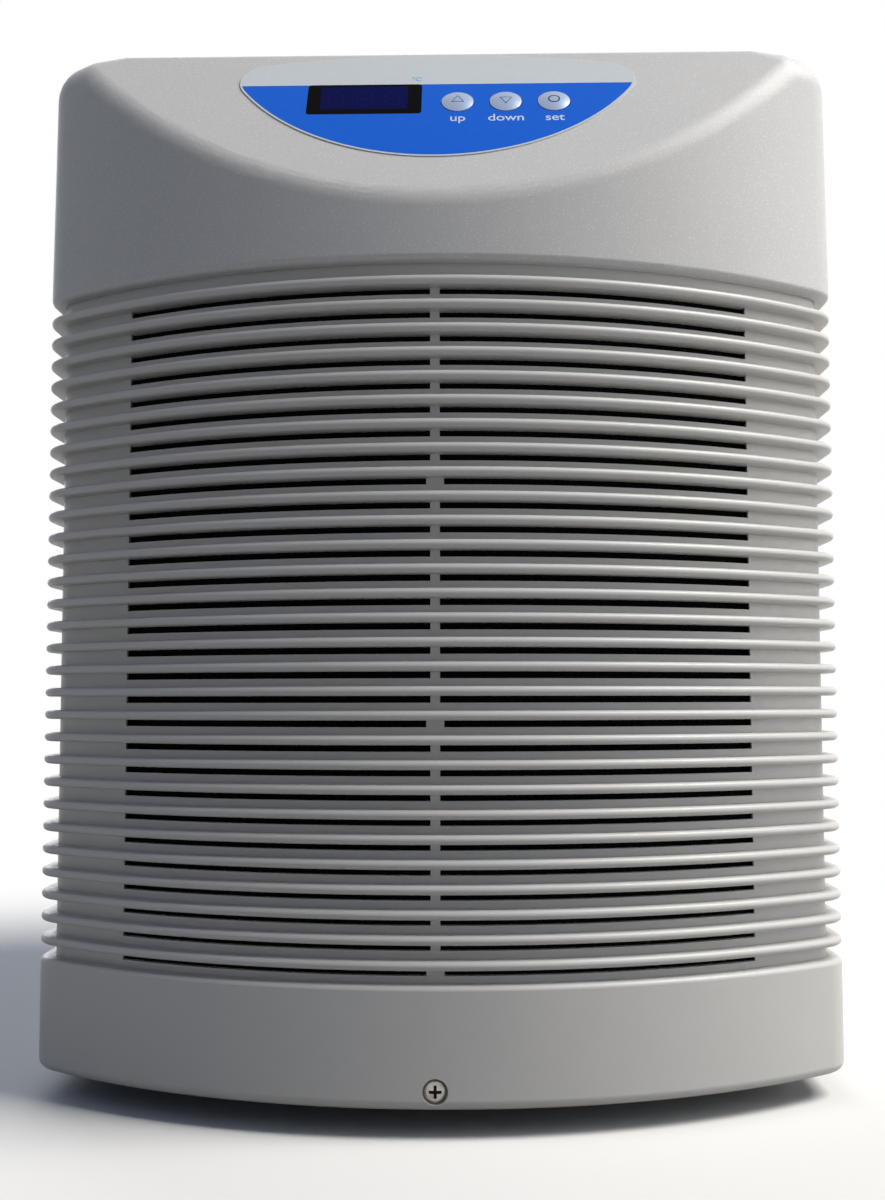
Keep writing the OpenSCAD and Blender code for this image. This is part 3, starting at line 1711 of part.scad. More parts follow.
// A can that lies in two saddles
module start_capacitor() {
    color("gainsboro")
        translate([transformer_x, can_y, deck_z + deck_t]) {
            raise(can_r + over) {
                rotate([0, 90, 0]) cylinder(h = can_l, r = can_r);
                for (y = [-can_r / 3, can_r / 3])
                    translate([can_l, y - segment_w / 2, -can_r / 4]) cube([relay_h / 2, segment_w, can_r / 2]);
            }
            for (x = [can_l / 6, can_l * 2 / 3])
                translate([x, -can_r / 2]) cube([can_l / 6, can_r, can_r / 2]);
        }
}

front_grille();
top_hood();
case_shell();
base_pan();
rubber_feet();
feet_screws();
grille_screw();
case_screws();
hood_screws();
control_overlay();
display_window();
button_up();
button_down();
button_set();
control_board();
display_module();
tact_switches();
board_screws();
air_filter();
filter_frame();
condenser_fins();
condenser_tubes();
condenser_end_plates();
fan_shroud();
fan_bracket();
fan_motor();
fan_shaft();
fan_rotor();
compressor();
terminal_cover();
compressor_grommets();
compressor_bolts();
heat_tank();
tank_lid();
tank_screws();
titanium_coil();
temp_sensor();
discharge_pipe();
filter_drier();
liquid_pipe();
capillary_tube();
suction_pipe();
inlet_tail();
outlet_tail();
inlet_nut();
outlet_nut();
port_seals();
mains_inlet();
inlet_pins();
inlet_screws();
top_deck();
power_board();
transformer();
start_capacitor();
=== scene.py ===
# %% [markdown]
# # An aquarium chiller
#
# The object is a compressor chiller for a fish tank: a moulded case as large as a bread bin, with
# a bowed front of thin ribs, a soft hood with a blue control panel on its slope, and hose tails at
# the back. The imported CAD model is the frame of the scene. Its pieces stand at their real sizes in
# metres, with the front towards -Y and Z upwards. This notebook replaces the pieces whose
# roundness matters most, gives each surface a finish, and then sets up the floor, the light and
# the camera.

import json
import math

import bmesh
import bpy
from mathutils import Matrix, Vector

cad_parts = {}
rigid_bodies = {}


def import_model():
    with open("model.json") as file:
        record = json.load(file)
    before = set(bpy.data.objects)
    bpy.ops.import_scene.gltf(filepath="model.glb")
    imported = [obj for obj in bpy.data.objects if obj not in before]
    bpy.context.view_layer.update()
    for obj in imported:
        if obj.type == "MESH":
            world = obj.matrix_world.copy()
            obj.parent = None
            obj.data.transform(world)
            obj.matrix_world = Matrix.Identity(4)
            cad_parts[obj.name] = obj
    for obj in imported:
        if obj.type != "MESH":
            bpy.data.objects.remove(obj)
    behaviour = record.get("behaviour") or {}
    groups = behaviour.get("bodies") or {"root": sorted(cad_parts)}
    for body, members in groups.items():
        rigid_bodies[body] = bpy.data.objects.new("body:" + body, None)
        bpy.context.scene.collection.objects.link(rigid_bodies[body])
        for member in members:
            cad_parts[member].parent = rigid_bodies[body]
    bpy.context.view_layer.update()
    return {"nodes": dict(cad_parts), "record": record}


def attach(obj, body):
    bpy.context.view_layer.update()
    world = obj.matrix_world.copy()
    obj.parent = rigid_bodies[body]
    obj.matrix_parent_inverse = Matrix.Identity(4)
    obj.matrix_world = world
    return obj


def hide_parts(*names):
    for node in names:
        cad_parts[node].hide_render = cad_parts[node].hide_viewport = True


for leftover in list(bpy.data.objects):
    bpy.data.objects.remove(leftover)
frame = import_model()
MM = 0.001
MERGE = 0.002 * MM

# %% [markdown]
# ## Helpers for finishes
#
# Colours are written as the hex values that a screen shows, and shading works in linear light, so
# one function turns one into the other. A second small function adds a node, sets it up and links
# its sockets, which keeps each finish below a short list of steps. Most finishes end alike, with
# two colours blended by a pattern and a relief from a pattern, and one more function does that.


# %% Colours and nodes
def colour(code):
    """A screen colour as linear red, green, blue and full opacity."""
    screen = [int(code[i : i + 2], 16) / 255 for i in (1, 3, 5)]
    linear = [c / 12.92 if c <= 0.04045 else ((c + 0.055) / 1.055) ** 2.4 for c in screen]
    return (*linear, 1.0)


def add(tree, kind, sockets=None, **settings):
    """A new shader node with its settings, and its sockets set to values or linked to sockets."""
    made = tree.nodes.new("ShaderNode" + kind)
    for name, value in settings.items():
        setattr(made, name, value)
    for name, value in (sockets or {}).items():
        if isinstance(value, bpy.types.NodeSocket):
            tree.links.new(value, made.inputs[name])
        else:
            made.inputs[name].default_value = value
    return made


def begin(name):
    """An empty material, its node tree, and the place of each point on the piece."""
    material = bpy.data.materials.new(name)
    material.use_nodes = True
    tree = material.node_tree
    tree.nodes.clear()
    place = add(tree, "TexCoord").outputs["Object"]
    return material, tree, place


def per_metre(millimetres):
    """The scale of a pattern whose features are this far apart."""
    return 1 / (millimetres * MM)


def finish_with(tree, blend, colours, height, depth, sockets, strength=1.0):
    """Ends a finish: two colours blended by one pattern, a relief in millimetres from another."""
    pair = {"Factor": blend, 6: colours[0], 7: colours[1]}
    tint = add(tree, "Mix", pair, data_type="RGBA")
    relief = add(tree, "Bump", {"Height": height, "Strength": strength, "Distance": depth * MM})
    surface = {"Base Color": tint.outputs[2], "Normal": relief.outputs["Normal"], **sockets}
    shader = add(tree, "BsdfPrincipled", surface)
    add(tree, "OutputMaterial", {"Surface": shader.outputs[0]})


print("white is", colour("#FFFFFF"), "and one feature each 2 mm is scale", per_metre(2))

# %% [markdown]
# ## Moulded plastics
#
# The case is ABS, injection moulded in a steel tool whose walls were spark eroded. That leaves a
# fine grain on the hood, and a smoother satin on the ribs. The hood's sparkle is painted: pale
# glints are mixed into its colour. The grain could be real displacement, but it is a few hundredths
# of a millimetre deep, so a bump from noise does the same at no cost. A cloudy noise of a few
# centimetres varies the colour and the roughness slightly, as dust, handling and the flow of the
# melt do. The same recipe serves every moulded plastic here, with other numbers.


# %% Recipe for moulded plastic
def moulded_plastic(name, main, shade, roughness, grain, depth, fleck=0.0, mirror=0.5):
    """Plastic with a moulded grain: its space and depth, and the space of painted glints, in
    millimetres.
    """
    material, tree, place = begin(name)
    cloud = add(tree, "TexNoise", {
        "Vector": place,
        "Scale": per_metre(45),
        "Detail": 3.0,
        "Roughness": 0.55,
    })
    pits = add(tree, "TexNoise", {
        "Vector": place,
        "Scale": per_metre(grain),
        "Detail": 2.0,
        "Roughness": 0.6,
    })
    gloss = add(tree, "MapRange", {
        "Value": pits.outputs["Fac"],
        "From Min": 0.3,
        "From Max": 0.7,
        "To Min": roughness - 0.07,
        "To Max": roughness + 0.09,
    })
    blend, colours = cloud.outputs["Fac"], (colour(main), colour(shade))
    # Painted glints: pale specks are mixed into the colour near the points of a Voronoi pattern.
    if fleck:
        melt = add(tree, "Mix", {"Factor": blend, 6: colours[0], 7: colours[1]}, data_type="RGBA")
        spots = add(tree, "TexVoronoi", {"Vector": place, "Scale": per_metre(fleck)}, feature="F1")
        chosen = add(tree, "MapRange", {
            "Value": spots.outputs["Distance"],
            "From Min": 0.3,
            "From Max": 0.12,
            "To Max": 0.55,
        })
        blend, colours = chosen.outputs["Result"], (melt.outputs[2], colour("#F6F6F4"))
    finish_with(tree, blend, colours, pits.outputs["Fac"], depth, {
        "Roughness": gloss.outputs["Result"],
        "IOR": 1.52,
        "Specular IOR Level": mirror,
    })
    return material


# %% The plastics of this machine
# ABS of the hood: a light grey. The grain is about 0.6 mm, and painted glints lie about 1.1 mm
# apart.
hood_abs = moulded_plastic("spark_grained_abs", "#CFCFCE", "#C8C8C7", 0.46, 0.6, 0.035, fleck=1.1)
# ABS of the ribs and the case: from a polished tool, so satin with a shallow orange peel.
satin_abs = moulded_plastic("satin_abs", "#D0CFCC", "#C8C7C4", 0.40, 2.2, 0.02)
# Black glass-filled nylon of the shroud, the tails and the inlet: flat, clouded by its fibres.
black_nylon = moulded_plastic("glass_filled_nylon", "#202123", "#292A2C", 0.55, 0.7, 0.03)
# Polypropylene of the fan: a little waxy, so smoother than the nylon.
black_polypropylene = moulded_plastic("black_polypropylene", "#151618", "#1D1E20", 0.42, 2.5, 0.02)
# Black phenolic of the small switches.
black_phenolic = moulded_plastic("black_phenolic", "#18181A", "#222224", 0.35, 1.0, 0.01)
# White PVC of the heat exchanger's tank, glossy, with a faint ripple from the mould.
white_pvc = moulded_plastic("glossy_white_pvc", "#E2E3E4", "#D9DBDC", 0.24, 6.0, 0.03)
# Grey thermoset can of the start capacitor.
grey_thermoset = moulded_plastic("grey_thermoset", "#C9C9C5", "#BEBEB9", 0.5, 1.5, 0.02)
print("plastics", [m.name for m in bpy.data.materials][-7:])

# %% [markdown]
# ## Metals
#
# Sheet and tube metals differ in three things: their colour, how rough they are, and which way the
# marks run. Zinc plate is pale with a cloudy spangle, fins and laminations have fine parallel
# lines, and copper tube darkens in patches. One recipe covers them, with noise that can be
# stretched along an axis.


# %% Recipe for bare metal
def bare_metal(name, main, tarnish, roughness, mark, stretch, depth, blotch=25.0):
    """Metal with marks a given number of millimetres apart, stretched along X, Y or Z."""
    material, tree, place = begin(name)
    patches = add(tree, "TexNoise", {
        "Vector": place,
        "Scale": per_metre(blotch),
        "Detail": 4.0,
        "Roughness": 0.6,
    })
    amount = add(
        tree, "MapRange", {"Value": patches.outputs["Fac"], "From Min": 0.4, "From Max": 0.75}
    )
    drawn_out = add(tree, "Mapping", {"Vector": place, "Scale": stretch}).outputs["Vector"]
    marks = add(tree, "TexNoise", {"Vector": drawn_out, "Scale": per_metre(mark), "Detail": 3.0})
    gloss = add(tree, "MapRange", {
        "Value": marks.outputs["Fac"],
        "From Min": 0.3,
        "From Max": 0.7,
        "To Min": roughness - 0.06,
        "To Max": roughness + 0.1,
    })
    colours = colour(main), colour(tarnish)
    finish_with(tree, amount.outputs["Result"], colours, marks.outputs["Fac"], depth, {
        "Metallic": 1.0,
        "Roughness": gloss.outputs["Result"],
    })
    return material


# %% The metals of this machine
SAME = (1, 1, 1)
# Zinc-plated sheet steel: pale, with the cloudy bloom of passivated zinc.
zinc_steel = bare_metal("zinc_plated_steel", "#C4C6C8", "#A3A6A8", 0.34, 3.0, SAME, 0.01, 9)
# Nickel-plated screws: smooth, with faint turning marks. Their grey colour, darker than bare
# nickel, is a painted reflection of dim surroundings.
nickel_steel = bare_metal(
    "nickel_plated_steel", "#A9A6A1", "#7F7C77", 0.2, 0.5, (1, 1, 4), 0.004, 4
)
# Painted shade in the cross recess of a screw: near-black metal in place of the light that the deep
# recess traps.
blackened_recess = bare_metal("blackened_recess", "#201F1E", "#141312", 0.5, 0.4, SAME, 0.003, 2)
# Rolled aluminium of the fins, with lines along the roll.
fin_aluminium = bare_metal("rolled_aluminium", "#D5D8DA", "#BEC2C5", 0.3, 0.6, (1, 0.05, 1), 0.006)
# Drawn copper tube, browned where hands and flux touched it.
copper_tube = bare_metal("drawn_copper", "#D98C6C", "#8A4B36", 0.28, 1.2, (1, 1, 0.1), 0.006, 14)
# Titanium tube: a darker, warmer grey than steel, matt from pickling.
titanium_tube = bare_metal(
    "pickled_titanium", "#A39F98", "#8B8781", 0.42, 0.8, (0.2, 0.2, 1), 0.006
)
# Brass pins of the mains inlet, bright from stamping.
stamped_brass = bare_metal("stamped_brass", "#E0C178", "#B99548", 0.25, 0.6, (1, 0.1, 1), 0.004, 5)
# Stacked steel sheets of the transformer's core: one dark line every half millimetre.
core_steel = bare_metal(
    "stacked_core_steel", "#77787B", "#4D4B49", 0.45, 0.5, (0.02, 1, 0.02), 0.05
)
print("finishes so far", len(bpy.data.materials))

# %% [markdown]
# ## Painted steel, rubber, foam and the circuit boards
#
# The compressor is sprayed gloss black, so it gets a clear coat with the gentle orange peel of
# spray paint. Rubber is nearly flat black with a pale bloom. The filter is open-cell foam: cell
# walls around holes, which a Voronoi pattern gives at once, with the holes painted darker as
# painted shade. A circuit board is green solder resist over copper tracks, drawn here by stepping
# a coarse Voronoi pattern so that straight-edged patches stand out.


# %% Sprayed paint
def sprayed_paint(name, main, dust, roughness):
    """Spray paint with orange peel about 2 mm across and dust that settles in clouds."""
    material, tree, place = begin(name)
    cloud = add(
        tree, "TexNoise", {"Vector": place, "Scale": per_metre(30), "Detail": 6.0, "Roughness": 0.7}
    )
    amount = add(tree, "MapRange", {
        "Value": cloud.outputs["Fac"],
        "From Min": 0.5,
        "From Max": 0.8,
        "To Max": 0.5,
    })
    peel = add(tree, "TexNoise", {"Vector": place, "Scale": per_metre(2.0), "Detail": 1.0})
    colours = colour(main), colour(dust)
    finish_with(tree, amount.outputs["Result"], colours, peel.outputs["Fac"], 0.02, {
        "Roughness": roughness,
        "Coat Weight": 0.6,
        "Coat Roughness": 0.08,
    })
    return material


compressor_paint = sprayed_paint("gloss_black_enamel", "#121314", "#3B3A38", 0.3)
motor_paint = sprayed_paint("graphite_enamel", "#53575C", "#6B6C6C", 0.38)
print("paints", compressor_paint.name, motor_paint.name)

# %% Rubber
# Black nitrile rubber of the feet, grommets and seals: no shine, a pale bloom and a fine tooth.
rubber, tree, place = begin("black_rubber")
bloom = add(
    tree, "TexNoise", {"Vector": place, "Scale": per_metre(6), "Detail": 5.0, "Roughness": 0.65}
)
tooth = add(tree, "TexNoise", {"Vector": place, "Scale": per_metre(0.6), "Detail": 2.0})
colours = colour("#1B1B1C"), colour("#343433")
dull = {"Roughness": 0.82, "IOR": 1.5}
finish_with(tree, bloom.outputs["Fac"], colours, tooth.outputs["Fac"], 0.04, dull)
print(rubber.name, "has", len(tree.nodes), "nodes")

# %% Filter foam
# Reticulated polyurethane, about 1.3 mm from cell to cell: black strands round holes, and the
# holes are painted darker still as painted shade.
filter_foam, tree, place = begin("reticulated_foam")
cells = add(
    tree, "TexVoronoi", {"Vector": place, "Scale": per_metre(1.3)}, feature="DISTANCE_TO_EDGE"
)
strand = add(tree, "MapRange", {
    "Value": cells.outputs["Distance"],
    "From Min": 0.02,
    "From Max": 0.3,
    "To Min": 1.0,
    "To Max": 0.0,
}).outputs["Result"]
# The first colour is painted shade in the holes, the second is the strands.
colours = colour("#050506"), colour("#121314")
matt = {"Roughness": 0.95, "Specular IOR Level": 0.1}
finish_with(tree, strand, colours, strand, 0.6, matt)
print(filter_foam.name, "has", len(tree.nodes), "nodes")

# %% Circuit board
# Green solder resist over copper, with lighter patches where the copper lies under it.
circuit_board, tree, place = begin("green_solder_resist")
islands = add(
    tree,
    "TexVoronoi",
    {"Vector": place, "Scale": per_metre(5), "Randomness": 0.7},
    feature="F1",
    distance="CHEBYCHEV",
)
copper_under = add(
    tree, "MapRange", {"Value": islands.outputs["Distance"], "From Min": 0.35, "From Max": 0.37}
).outputs["Result"]
colours = colour("#12643A"), colour("#1F7A46")
finish_with(tree, copper_under, colours, copper_under, 0.04, {"Roughness": 0.28})
print("finishes so far", len(bpy.data.materials))

# %% [markdown]
# ## The control panel's finishes
#
# The panel is a polyester sheet, printed from behind in blue under a clear velvet skin, so it is
# satin with an even, very fine tooth. The window is a smoked acrylic lens: dark, glossy and very
# smooth. The keys are caps sprayed with silver lacquer, in which small flakes catch the light.


# %% Printed film and dark acrylic
def printed_film(name, ink, ink_light, roughness=0.36):
    """Ink under a velvet polyester skin: the tooth is drawn at 0.5 mm so that it shows."""
    material, tree, place = begin(name)
    tooth = add(tree, "TexNoise", {"Vector": place, "Scale": per_metre(0.5), "Detail": 2.0})
    mottle = add(tree, "TexNoise", {"Vector": place, "Scale": per_metre(3), "Detail": 4.0})
    gloss = add(tree, "MapRange", {
        "Value": tooth.outputs["Fac"],
        "From Min": 0.3,
        "From Max": 0.7,
        "To Min": roughness - 0.05,
        "To Max": roughness + 0.08,
    })
    colours = colour(ink), colour(ink_light)
    finish_with(tree, mottle.outputs["Fac"], colours, tooth.outputs["Fac"], 0.008, {
        "Roughness": gloss.outputs["Result"],
        "IOR": 1.58,
        "Specular IOR Level": 0.05,
    })
    return material


pale_film = printed_film("pale_printed_film", "#D3DADE", "#D9E0E4")
blue_ink = printed_film("blue_printed_film", "#1766DF", "#1C6BE3")
white_ink = printed_film("white_print", "#D3DFF2", "#DAE5F5")
cyan_ink = printed_film("cyan_print", "#7EC3DA", "#89CADF")
black_ink = printed_film("black_print", "#191C28", "#20232F", 0.3)
# Acrylic of the window, printed from behind: in soft light it shows almost no mirror image.
dark = {"mirror": 0.015}
black_lens = moulded_plastic("black_acrylic", "#030307", "#050509", 0.16, 8.0, 0.002, **dark)
navy_lens = moulded_plastic("navy_acrylic", "#040A48", "#060C50", 0.16, 8.0, 0.002, **dark)
unlit_segment = moulded_plastic("unlit_segment", "#0B1256", "#0D145C", 0.3, 3.0, 0.002, **dark)
print("panel finishes", [m.name for m in bpy.data.materials][-8:])

# %% Silver lacquer
# Flakes of 0.35 mm tilt a little each way, which the distance in a Voronoi cell turns into slopes.
silver_lacquer, tree, place = begin("silver_lacquer")
flakes = add(
    tree, "TexVoronoi", {"Vector": place, "Scale": per_metre(0.35)}, feature="F1"
).outputs["Distance"]
colours = colour("#A3B4D2"), colour("#8FA1C4")
finish_with(tree, flakes, colours, flakes, 0.01, {
    "Metallic": 0.55,
    "Roughness": 0.34,
    "Coat Weight": 0.3,
    "Coat Roughness": 0.1,
}, strength=0.6)
print("finishes in all", len(bpy.data.materials))

# %% Give every CAD node its finish
FINISHES = {
    "shell": satin_abs,
    "dark_plastic": black_nylon,
    "zinc_steel": zinc_steel,
    "screw_steel": nickel_steel,
    "rubber": rubber,
    "panel_film": blue_ink,
    "window": black_lens,
    "button_silver": silver_lacquer,
    "circuit_board": circuit_board,
    "display": black_phenolic,
    "switch": black_phenolic,
    "foam": filter_foam,
    "fin_aluminium": fin_aluminium,
    "copper": copper_tube,
    "fan_plastic": black_polypropylene,
    "motor_steel": motor_paint,
    "compressor_paint": compressor_paint,
    "tank_plastic": white_pvc,
    "titanium": titanium_tube,
    "inlet_plastic": black_nylon,
    "pin_brass": stamped_brass,
    "core_steel": core_steel,
    "can_plastic": grey_thermoset,
}
slot_of = {part["node"]: part["material_slot"] for part in frame["record"]["subparts"]}
bodies = frame["record"]["behaviour"]["bodies"]
body_of = {node: body for body, nodes in bodies.items() for node in nodes}
for node, slot in slot_of.items():
    mesh = frame["nodes"][node].data
    mesh.materials.clear()
    mesh.materials.append(FINISHES[slot])
print("finished nodes", len(slot_of))

# %% [markdown]
# ## Helpers for pieces
#
# A new piece is shaped in a bmesh and then made an object at the origin, whose place is in its
# mesh, so that it lies in the same frame as the CAD nodes. Round forms need soft shading with
# crisp edges: edges under a limit angle are smoothed, the rest stay sharp, and a Weighted Normal
# modifier lets the large flat faces keep their own direction up to the rounded edge.


# %% From bmesh to piece
def make_piece(bm, name, body, slot, finishes, limit=35):
    """An object from a bmesh, softly shaded up to a limit angle, that rides on a body."""
    for face in bm.faces:
        face.smooth = True
    for edge in bm.edges:
        edge.smooth = edge.calc_face_angle(math.pi) < math.radians(limit)
    mesh = bpy.data.meshes.new(name)
    bm.to_mesh(mesh)
    bm.free()
    for finish in finishes:
        mesh.materials.append(finish)
    piece = bpy.data.objects.new(name, mesh)
    bpy.context.scene.collection.objects.link(piece)
    even = piece.modifiers.new("even shading", "WEIGHTED_NORMAL")
    even.keep_sharp = True
    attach(piece, body)
    return piece


def solid(bm, name):
    """A helper object for a boolean, with its faces pointing outwards."""
    bmesh.ops.recalc_face_normals(bm, faces=bm.faces)
    mesh = bpy.data.meshes.new(name)
    bm.to_mesh(mesh)
    bm.free()
    made = bpy.data.objects.new(name, mesh)
    bpy.context.scene.collection.objects.link(made)
    return made


def combine(base, others):
    """The bmesh of a solid with others cut away or joined on. The solids are used up."""
    for operation, other in others:
        step = base.modifiers.new(other.name, "BOOLEAN")
        step.operation = operation
        step.object = other
        step.solver = "MANIFOLD"
    bpy.context.view_layer.update()
    result = base.evaluated_get(bpy.context.evaluated_depsgraph_get())
    bm = bmesh.new()
    bm.from_mesh(result.to_mesh())
    for used in [base] + [other for _, other in others]:
        bpy.data.objects.remove(used)
    bmesh.ops.remove_doubles(bm, verts=bm.verts, dist=MERGE)
    return bm


def triangles(bm):
    return sum(len(face.verts) - 2 for face in bm.faces)


def points(items):
    """The points among what an operator made."""
    return [item for item in items if isinstance(item, bmesh.types.BMVert)]


def edges(items):
    """The edges among what an operator made."""
    return [item for item in items if isinstance(item, bmesh.types.BMEdge)]


def everything(bm):
    return list(bm.verts) + list(bm.edges) + list(bm.faces)


# %% [markdown]
# ## The sizes of the case
#
# The outline in plan is a bow of large radius that runs into two small front corners, two straight
# sides and two rear corners. The three round forms share tangent points, so their centres follow
# from the radii. These few values, in millimetres, are the same as in the CAD source.

# %% Sizes in millimetres
HALF_W = 160.0
FRONT_Y = -212.0
REAR_Y = 164.0
BOW_R = 254.0
CORNER_R = 19.0
REAR_R = 18.0
BOW_CENTRE = Vector((0, FRONT_Y + BOW_R, 0))
CORNER_X = HALF_W - CORNER_R
BOW_ANGLE = math.asin(CORNER_X / (BOW_R - CORNER_R))
CORNER_Y = BOW_CENTRE.y - (BOW_R - CORNER_R) * math.cos(BOW_ANGLE)
SIDE_RUN = 42.0
WALL = 2.5
REACH = 6.0
FOOT_H = 10.0
BAND_TOP = 53.7
RIB_LOW = 58.7
PITCH = 8.9
RIBS = 29
RIB_T = 3.55
HOOD_Z = 316.95
TONGUE = 9.0
BOW_STEPS = 56
CORNER_STEPS = 8
print("corner centre", CORNER_X, round(CORNER_Y, 3), "bow angle", round(math.degrees(BOW_ANGLE), 2))

# %% [markdown]
# ## The ribbed front grille
#
# One moulding carries 29 thin ribs with round noses, a wall with a slot under each rib, an upright
# strut in the middle and a plain band at the foot. It could be built rib by rib, but every rib has
# the same section all the way round, so the whole section is drawn once as a closed wire at the
# rear end of the right flank, extruded forward, and spun round the corner, the bow and the far
# corner. The arcs of the section are spun from single vertices in the same way. The slots are cut
# with a boolean.


# %% Draw the section of the grille
def at_flank(inset, height):
    """A point at the rear end of the right flank, from its inset in the outline and its height."""
    return Vector((HALF_W - inset, CORNER_Y + SIDE_RUN, height)) * MM


def begin_wire(bm, inset, height):
    return bmesh.ops.create_vert(bm, co=at_flank(inset, height))["vert"][0]


def step_to(bm, vert, inset, height):
    """Carries the wire on to a point."""
    new = bmesh.ops.extrude_vert_indiv(bm, verts=[vert])["verts"][0]
    new.co = at_flank(inset, height)
    return new


def turn(bm, vert, inset, height, degrees, steps):
    """Carries the wire on round a centre."""
    made = bmesh.ops.spin(
        bm,
        geom=[vert],
        cent=at_flank(inset, height),
        axis=(0, 1, 0),
        dvec=(0, 0, 0),
        angle=math.radians(degrees),
        steps=steps,
        use_duplicate=False,
    )
    return points(made["geom_last"])[0]


NOSE_STEPS = 10
BAND_R = 2
BAND_STEPS = 6
SOLE_R = 4
SOLE_STEPS = 8
bm = bmesh.new()
top = HOOD_Z + TONGUE
nose = RIB_T / 2
first = last = begin_wire(bm, REACH, top)
for rib in reversed(range(RIBS)):
    low = RIB_LOW + rib * PITCH
    last = step_to(bm, last, REACH, low + RIB_T)
    last = step_to(bm, last, nose, low + RIB_T)
    last = turn(bm, last, nose, low + nose, 180, NOSE_STEPS)
    last = step_to(bm, last, REACH, low)
last = step_to(bm, last, REACH, BAND_TOP)
last = step_to(bm, last, BAND_R, BAND_TOP)
last = turn(bm, last, BAND_R, BAND_TOP - BAND_R, 90, BAND_STEPS)
last = step_to(bm, last, 0, FOOT_H + SOLE_R)
last = turn(bm, last, SOLE_R, FOOT_H + SOLE_R, 90, SOLE_STEPS)
for inset, height in (
    (REACH + WALL, FOOT_H),
    (REACH + WALL, FOOT_H + WALL),
    (WALL, FOOT_H + WALL),
    (WALL, BAND_TOP - WALL),
    (REACH + WALL, BAND_TOP - WALL),
    (REACH + WALL, top),
):
    last = step_to(bm, last, inset, height)
bm.edges.new((last, first))
print("points in the section", len(bm.verts))


# %% Carry a wire round the front of the case
def sweep_round_front(bm, name):
    """Runs a closed wire along a flank, round the front and back, and fills both of its ends."""

    def run(geometry, distance):
        made = bmesh.ops.extrude_edge_only(bm, edges=edges(geometry))["geom"]
        bmesh.ops.translate(bm, verts=points(made), vec=(0, distance * MM, 0))
        return [item for item in made if not isinstance(item, bmesh.types.BMFace)]

    def spin(geometry, centre, angle, steps):
        return bmesh.ops.spin(
            bm,
            geom=geometry,
            cent=centre * MM,
            axis=(0, 0, 1),
            dvec=(0, 0, 0),
            angle=angle,
            steps=steps,
            use_duplicate=False,
        )["geom_last"]

    first_rim = list(bm.edges)
    corner = math.pi / 2 - BOW_ANGLE
    geometry = run(first_rim, -SIDE_RUN)
    geometry = spin(geometry, Vector((CORNER_X, CORNER_Y, 0)), -corner, CORNER_STEPS)
    geometry = spin(geometry, BOW_CENTRE, -2 * BOW_ANGLE, BOW_STEPS)
    geometry = spin(geometry, Vector((-CORNER_X, CORNER_Y, 0)), -corner, CORNER_STEPS)
    for rim in (first_rim, edges(run(geometry, SIDE_RUN))):
        bmesh.ops.edgeloop_fill(bm, edges=rim)
    bmesh.ops.remove_doubles(bm, verts=bm.verts, dist=MERGE)
    return solid(bm, name)


grille = sweep_round_front(bm, "grille_sweep")
print("faces in the sweep", len(grille.data.polygons))

# %% Cut the slots
# Each slot lies under a rib and stops at the strut, which is wider at every tenth rib.
SLOT_FIELD = 241.0
SLOT_H = 2.5
SLOT_DEEP = 60.0
STRUT, WIDE_STRUT, WIDE_EVERY = 3.5, 6.5, 10
bm = bmesh.new()
for rib in range(RIBS):
    strut = STRUT if rib % WIDE_EVERY else WIDE_STRUT
    height = RIB_LOW + rib * PITCH - SLOT_H / 2
    for side in (-1, 1):
        middle = side * (SLOT_FIELD + strut) / 4
        where = Matrix.Translation(Vector((middle, FRONT_Y + SLOT_DEEP / 4, height)) * MM)
        size = Matrix.Diagonal(Vector(((SLOT_FIELD - strut) / 2, SLOT_DEEP, SLOT_H)) * MM).to_4x4()
        bmesh.ops.create_cube(bm, size=1, matrix=where @ size)
slots = solid(bm, "slots")

SEAT_R = 4.6
SEAT_DEEP = 2.2
SEAT_Z = FOOT_H + 6.9
OVER = 1.0
bm = bmesh.new()
seat_middle = Vector((0, FRONT_Y + (SEAT_DEEP - OVER) / 2, SEAT_Z)) * MM
bmesh.ops.create_cone(
    bm,
    cap_ends=True,
    segments=48,
    radius1=SEAT_R * MM,
    radius2=SEAT_R * MM,
    depth=(SEAT_DEEP + OVER) * MM,
    matrix=Matrix.Translation(seat_middle) @ Matrix.Rotation(math.pi / 2, 4, "X"),
)
screw_seat = solid(bm, "screw_seat")
bm = combine(grille, [("DIFFERENCE", slots), ("DIFFERENCE", screw_seat)])
print("grille triangles", triangles(bm))
ribbed_grille = make_piece(bm, "ribbed_grille", "body", "shell", [satin_abs], limit=40)
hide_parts("front_grille")

# %% [markdown]
# ## The hood
#
# The hood is the softest form of the machine: a flat sloped face meets a bowed skirt in a
# smile-shaped crease that is never sharp. On the real tool such a blend is a ball rolled along the
# edges. The same idea works here: small spheres are set along the path that a ball takes inside
# the form, and the convex hull of them all is the skin. A second hull of smaller spheres is the
# hollow, and a boolean takes it out, which leaves an even wall. Subdivision of a cage would give
# soft edges too, but not true radii. A narrow lip, swept round the front as the grille is, closes
# the gap between the hood and the ribs.

# %% Sizes of the hood in millimetres
HOOD_H = 101.6
CREASE_Z = HOOD_Z + 24.5
SLOPE = math.radians(56.6)
HOOD_T = 3.0
SOFT_R = 15.0
BROW_R = 4.0
RIM_R = 2.5
DRAFT = 1.3
LIP_H = 2.0
LIP_GAP = 0.3
PLAN_BOW_STEPS = 60
PLAN_CORNER_STEPS = 9
RIM_STEPS = 6
TOP_Z = HOOD_Z + HOOD_H


def arc(centre, radius, start, stop, steps):
    """Places along an arc, the angles in radians."""
    return [
        Vector((centre[0] + radius * math.cos(a), centre[1] + radius * math.sin(a)))
        for a in (start + (stop - start) * i / steps for i in range(steps + 1))
    ]


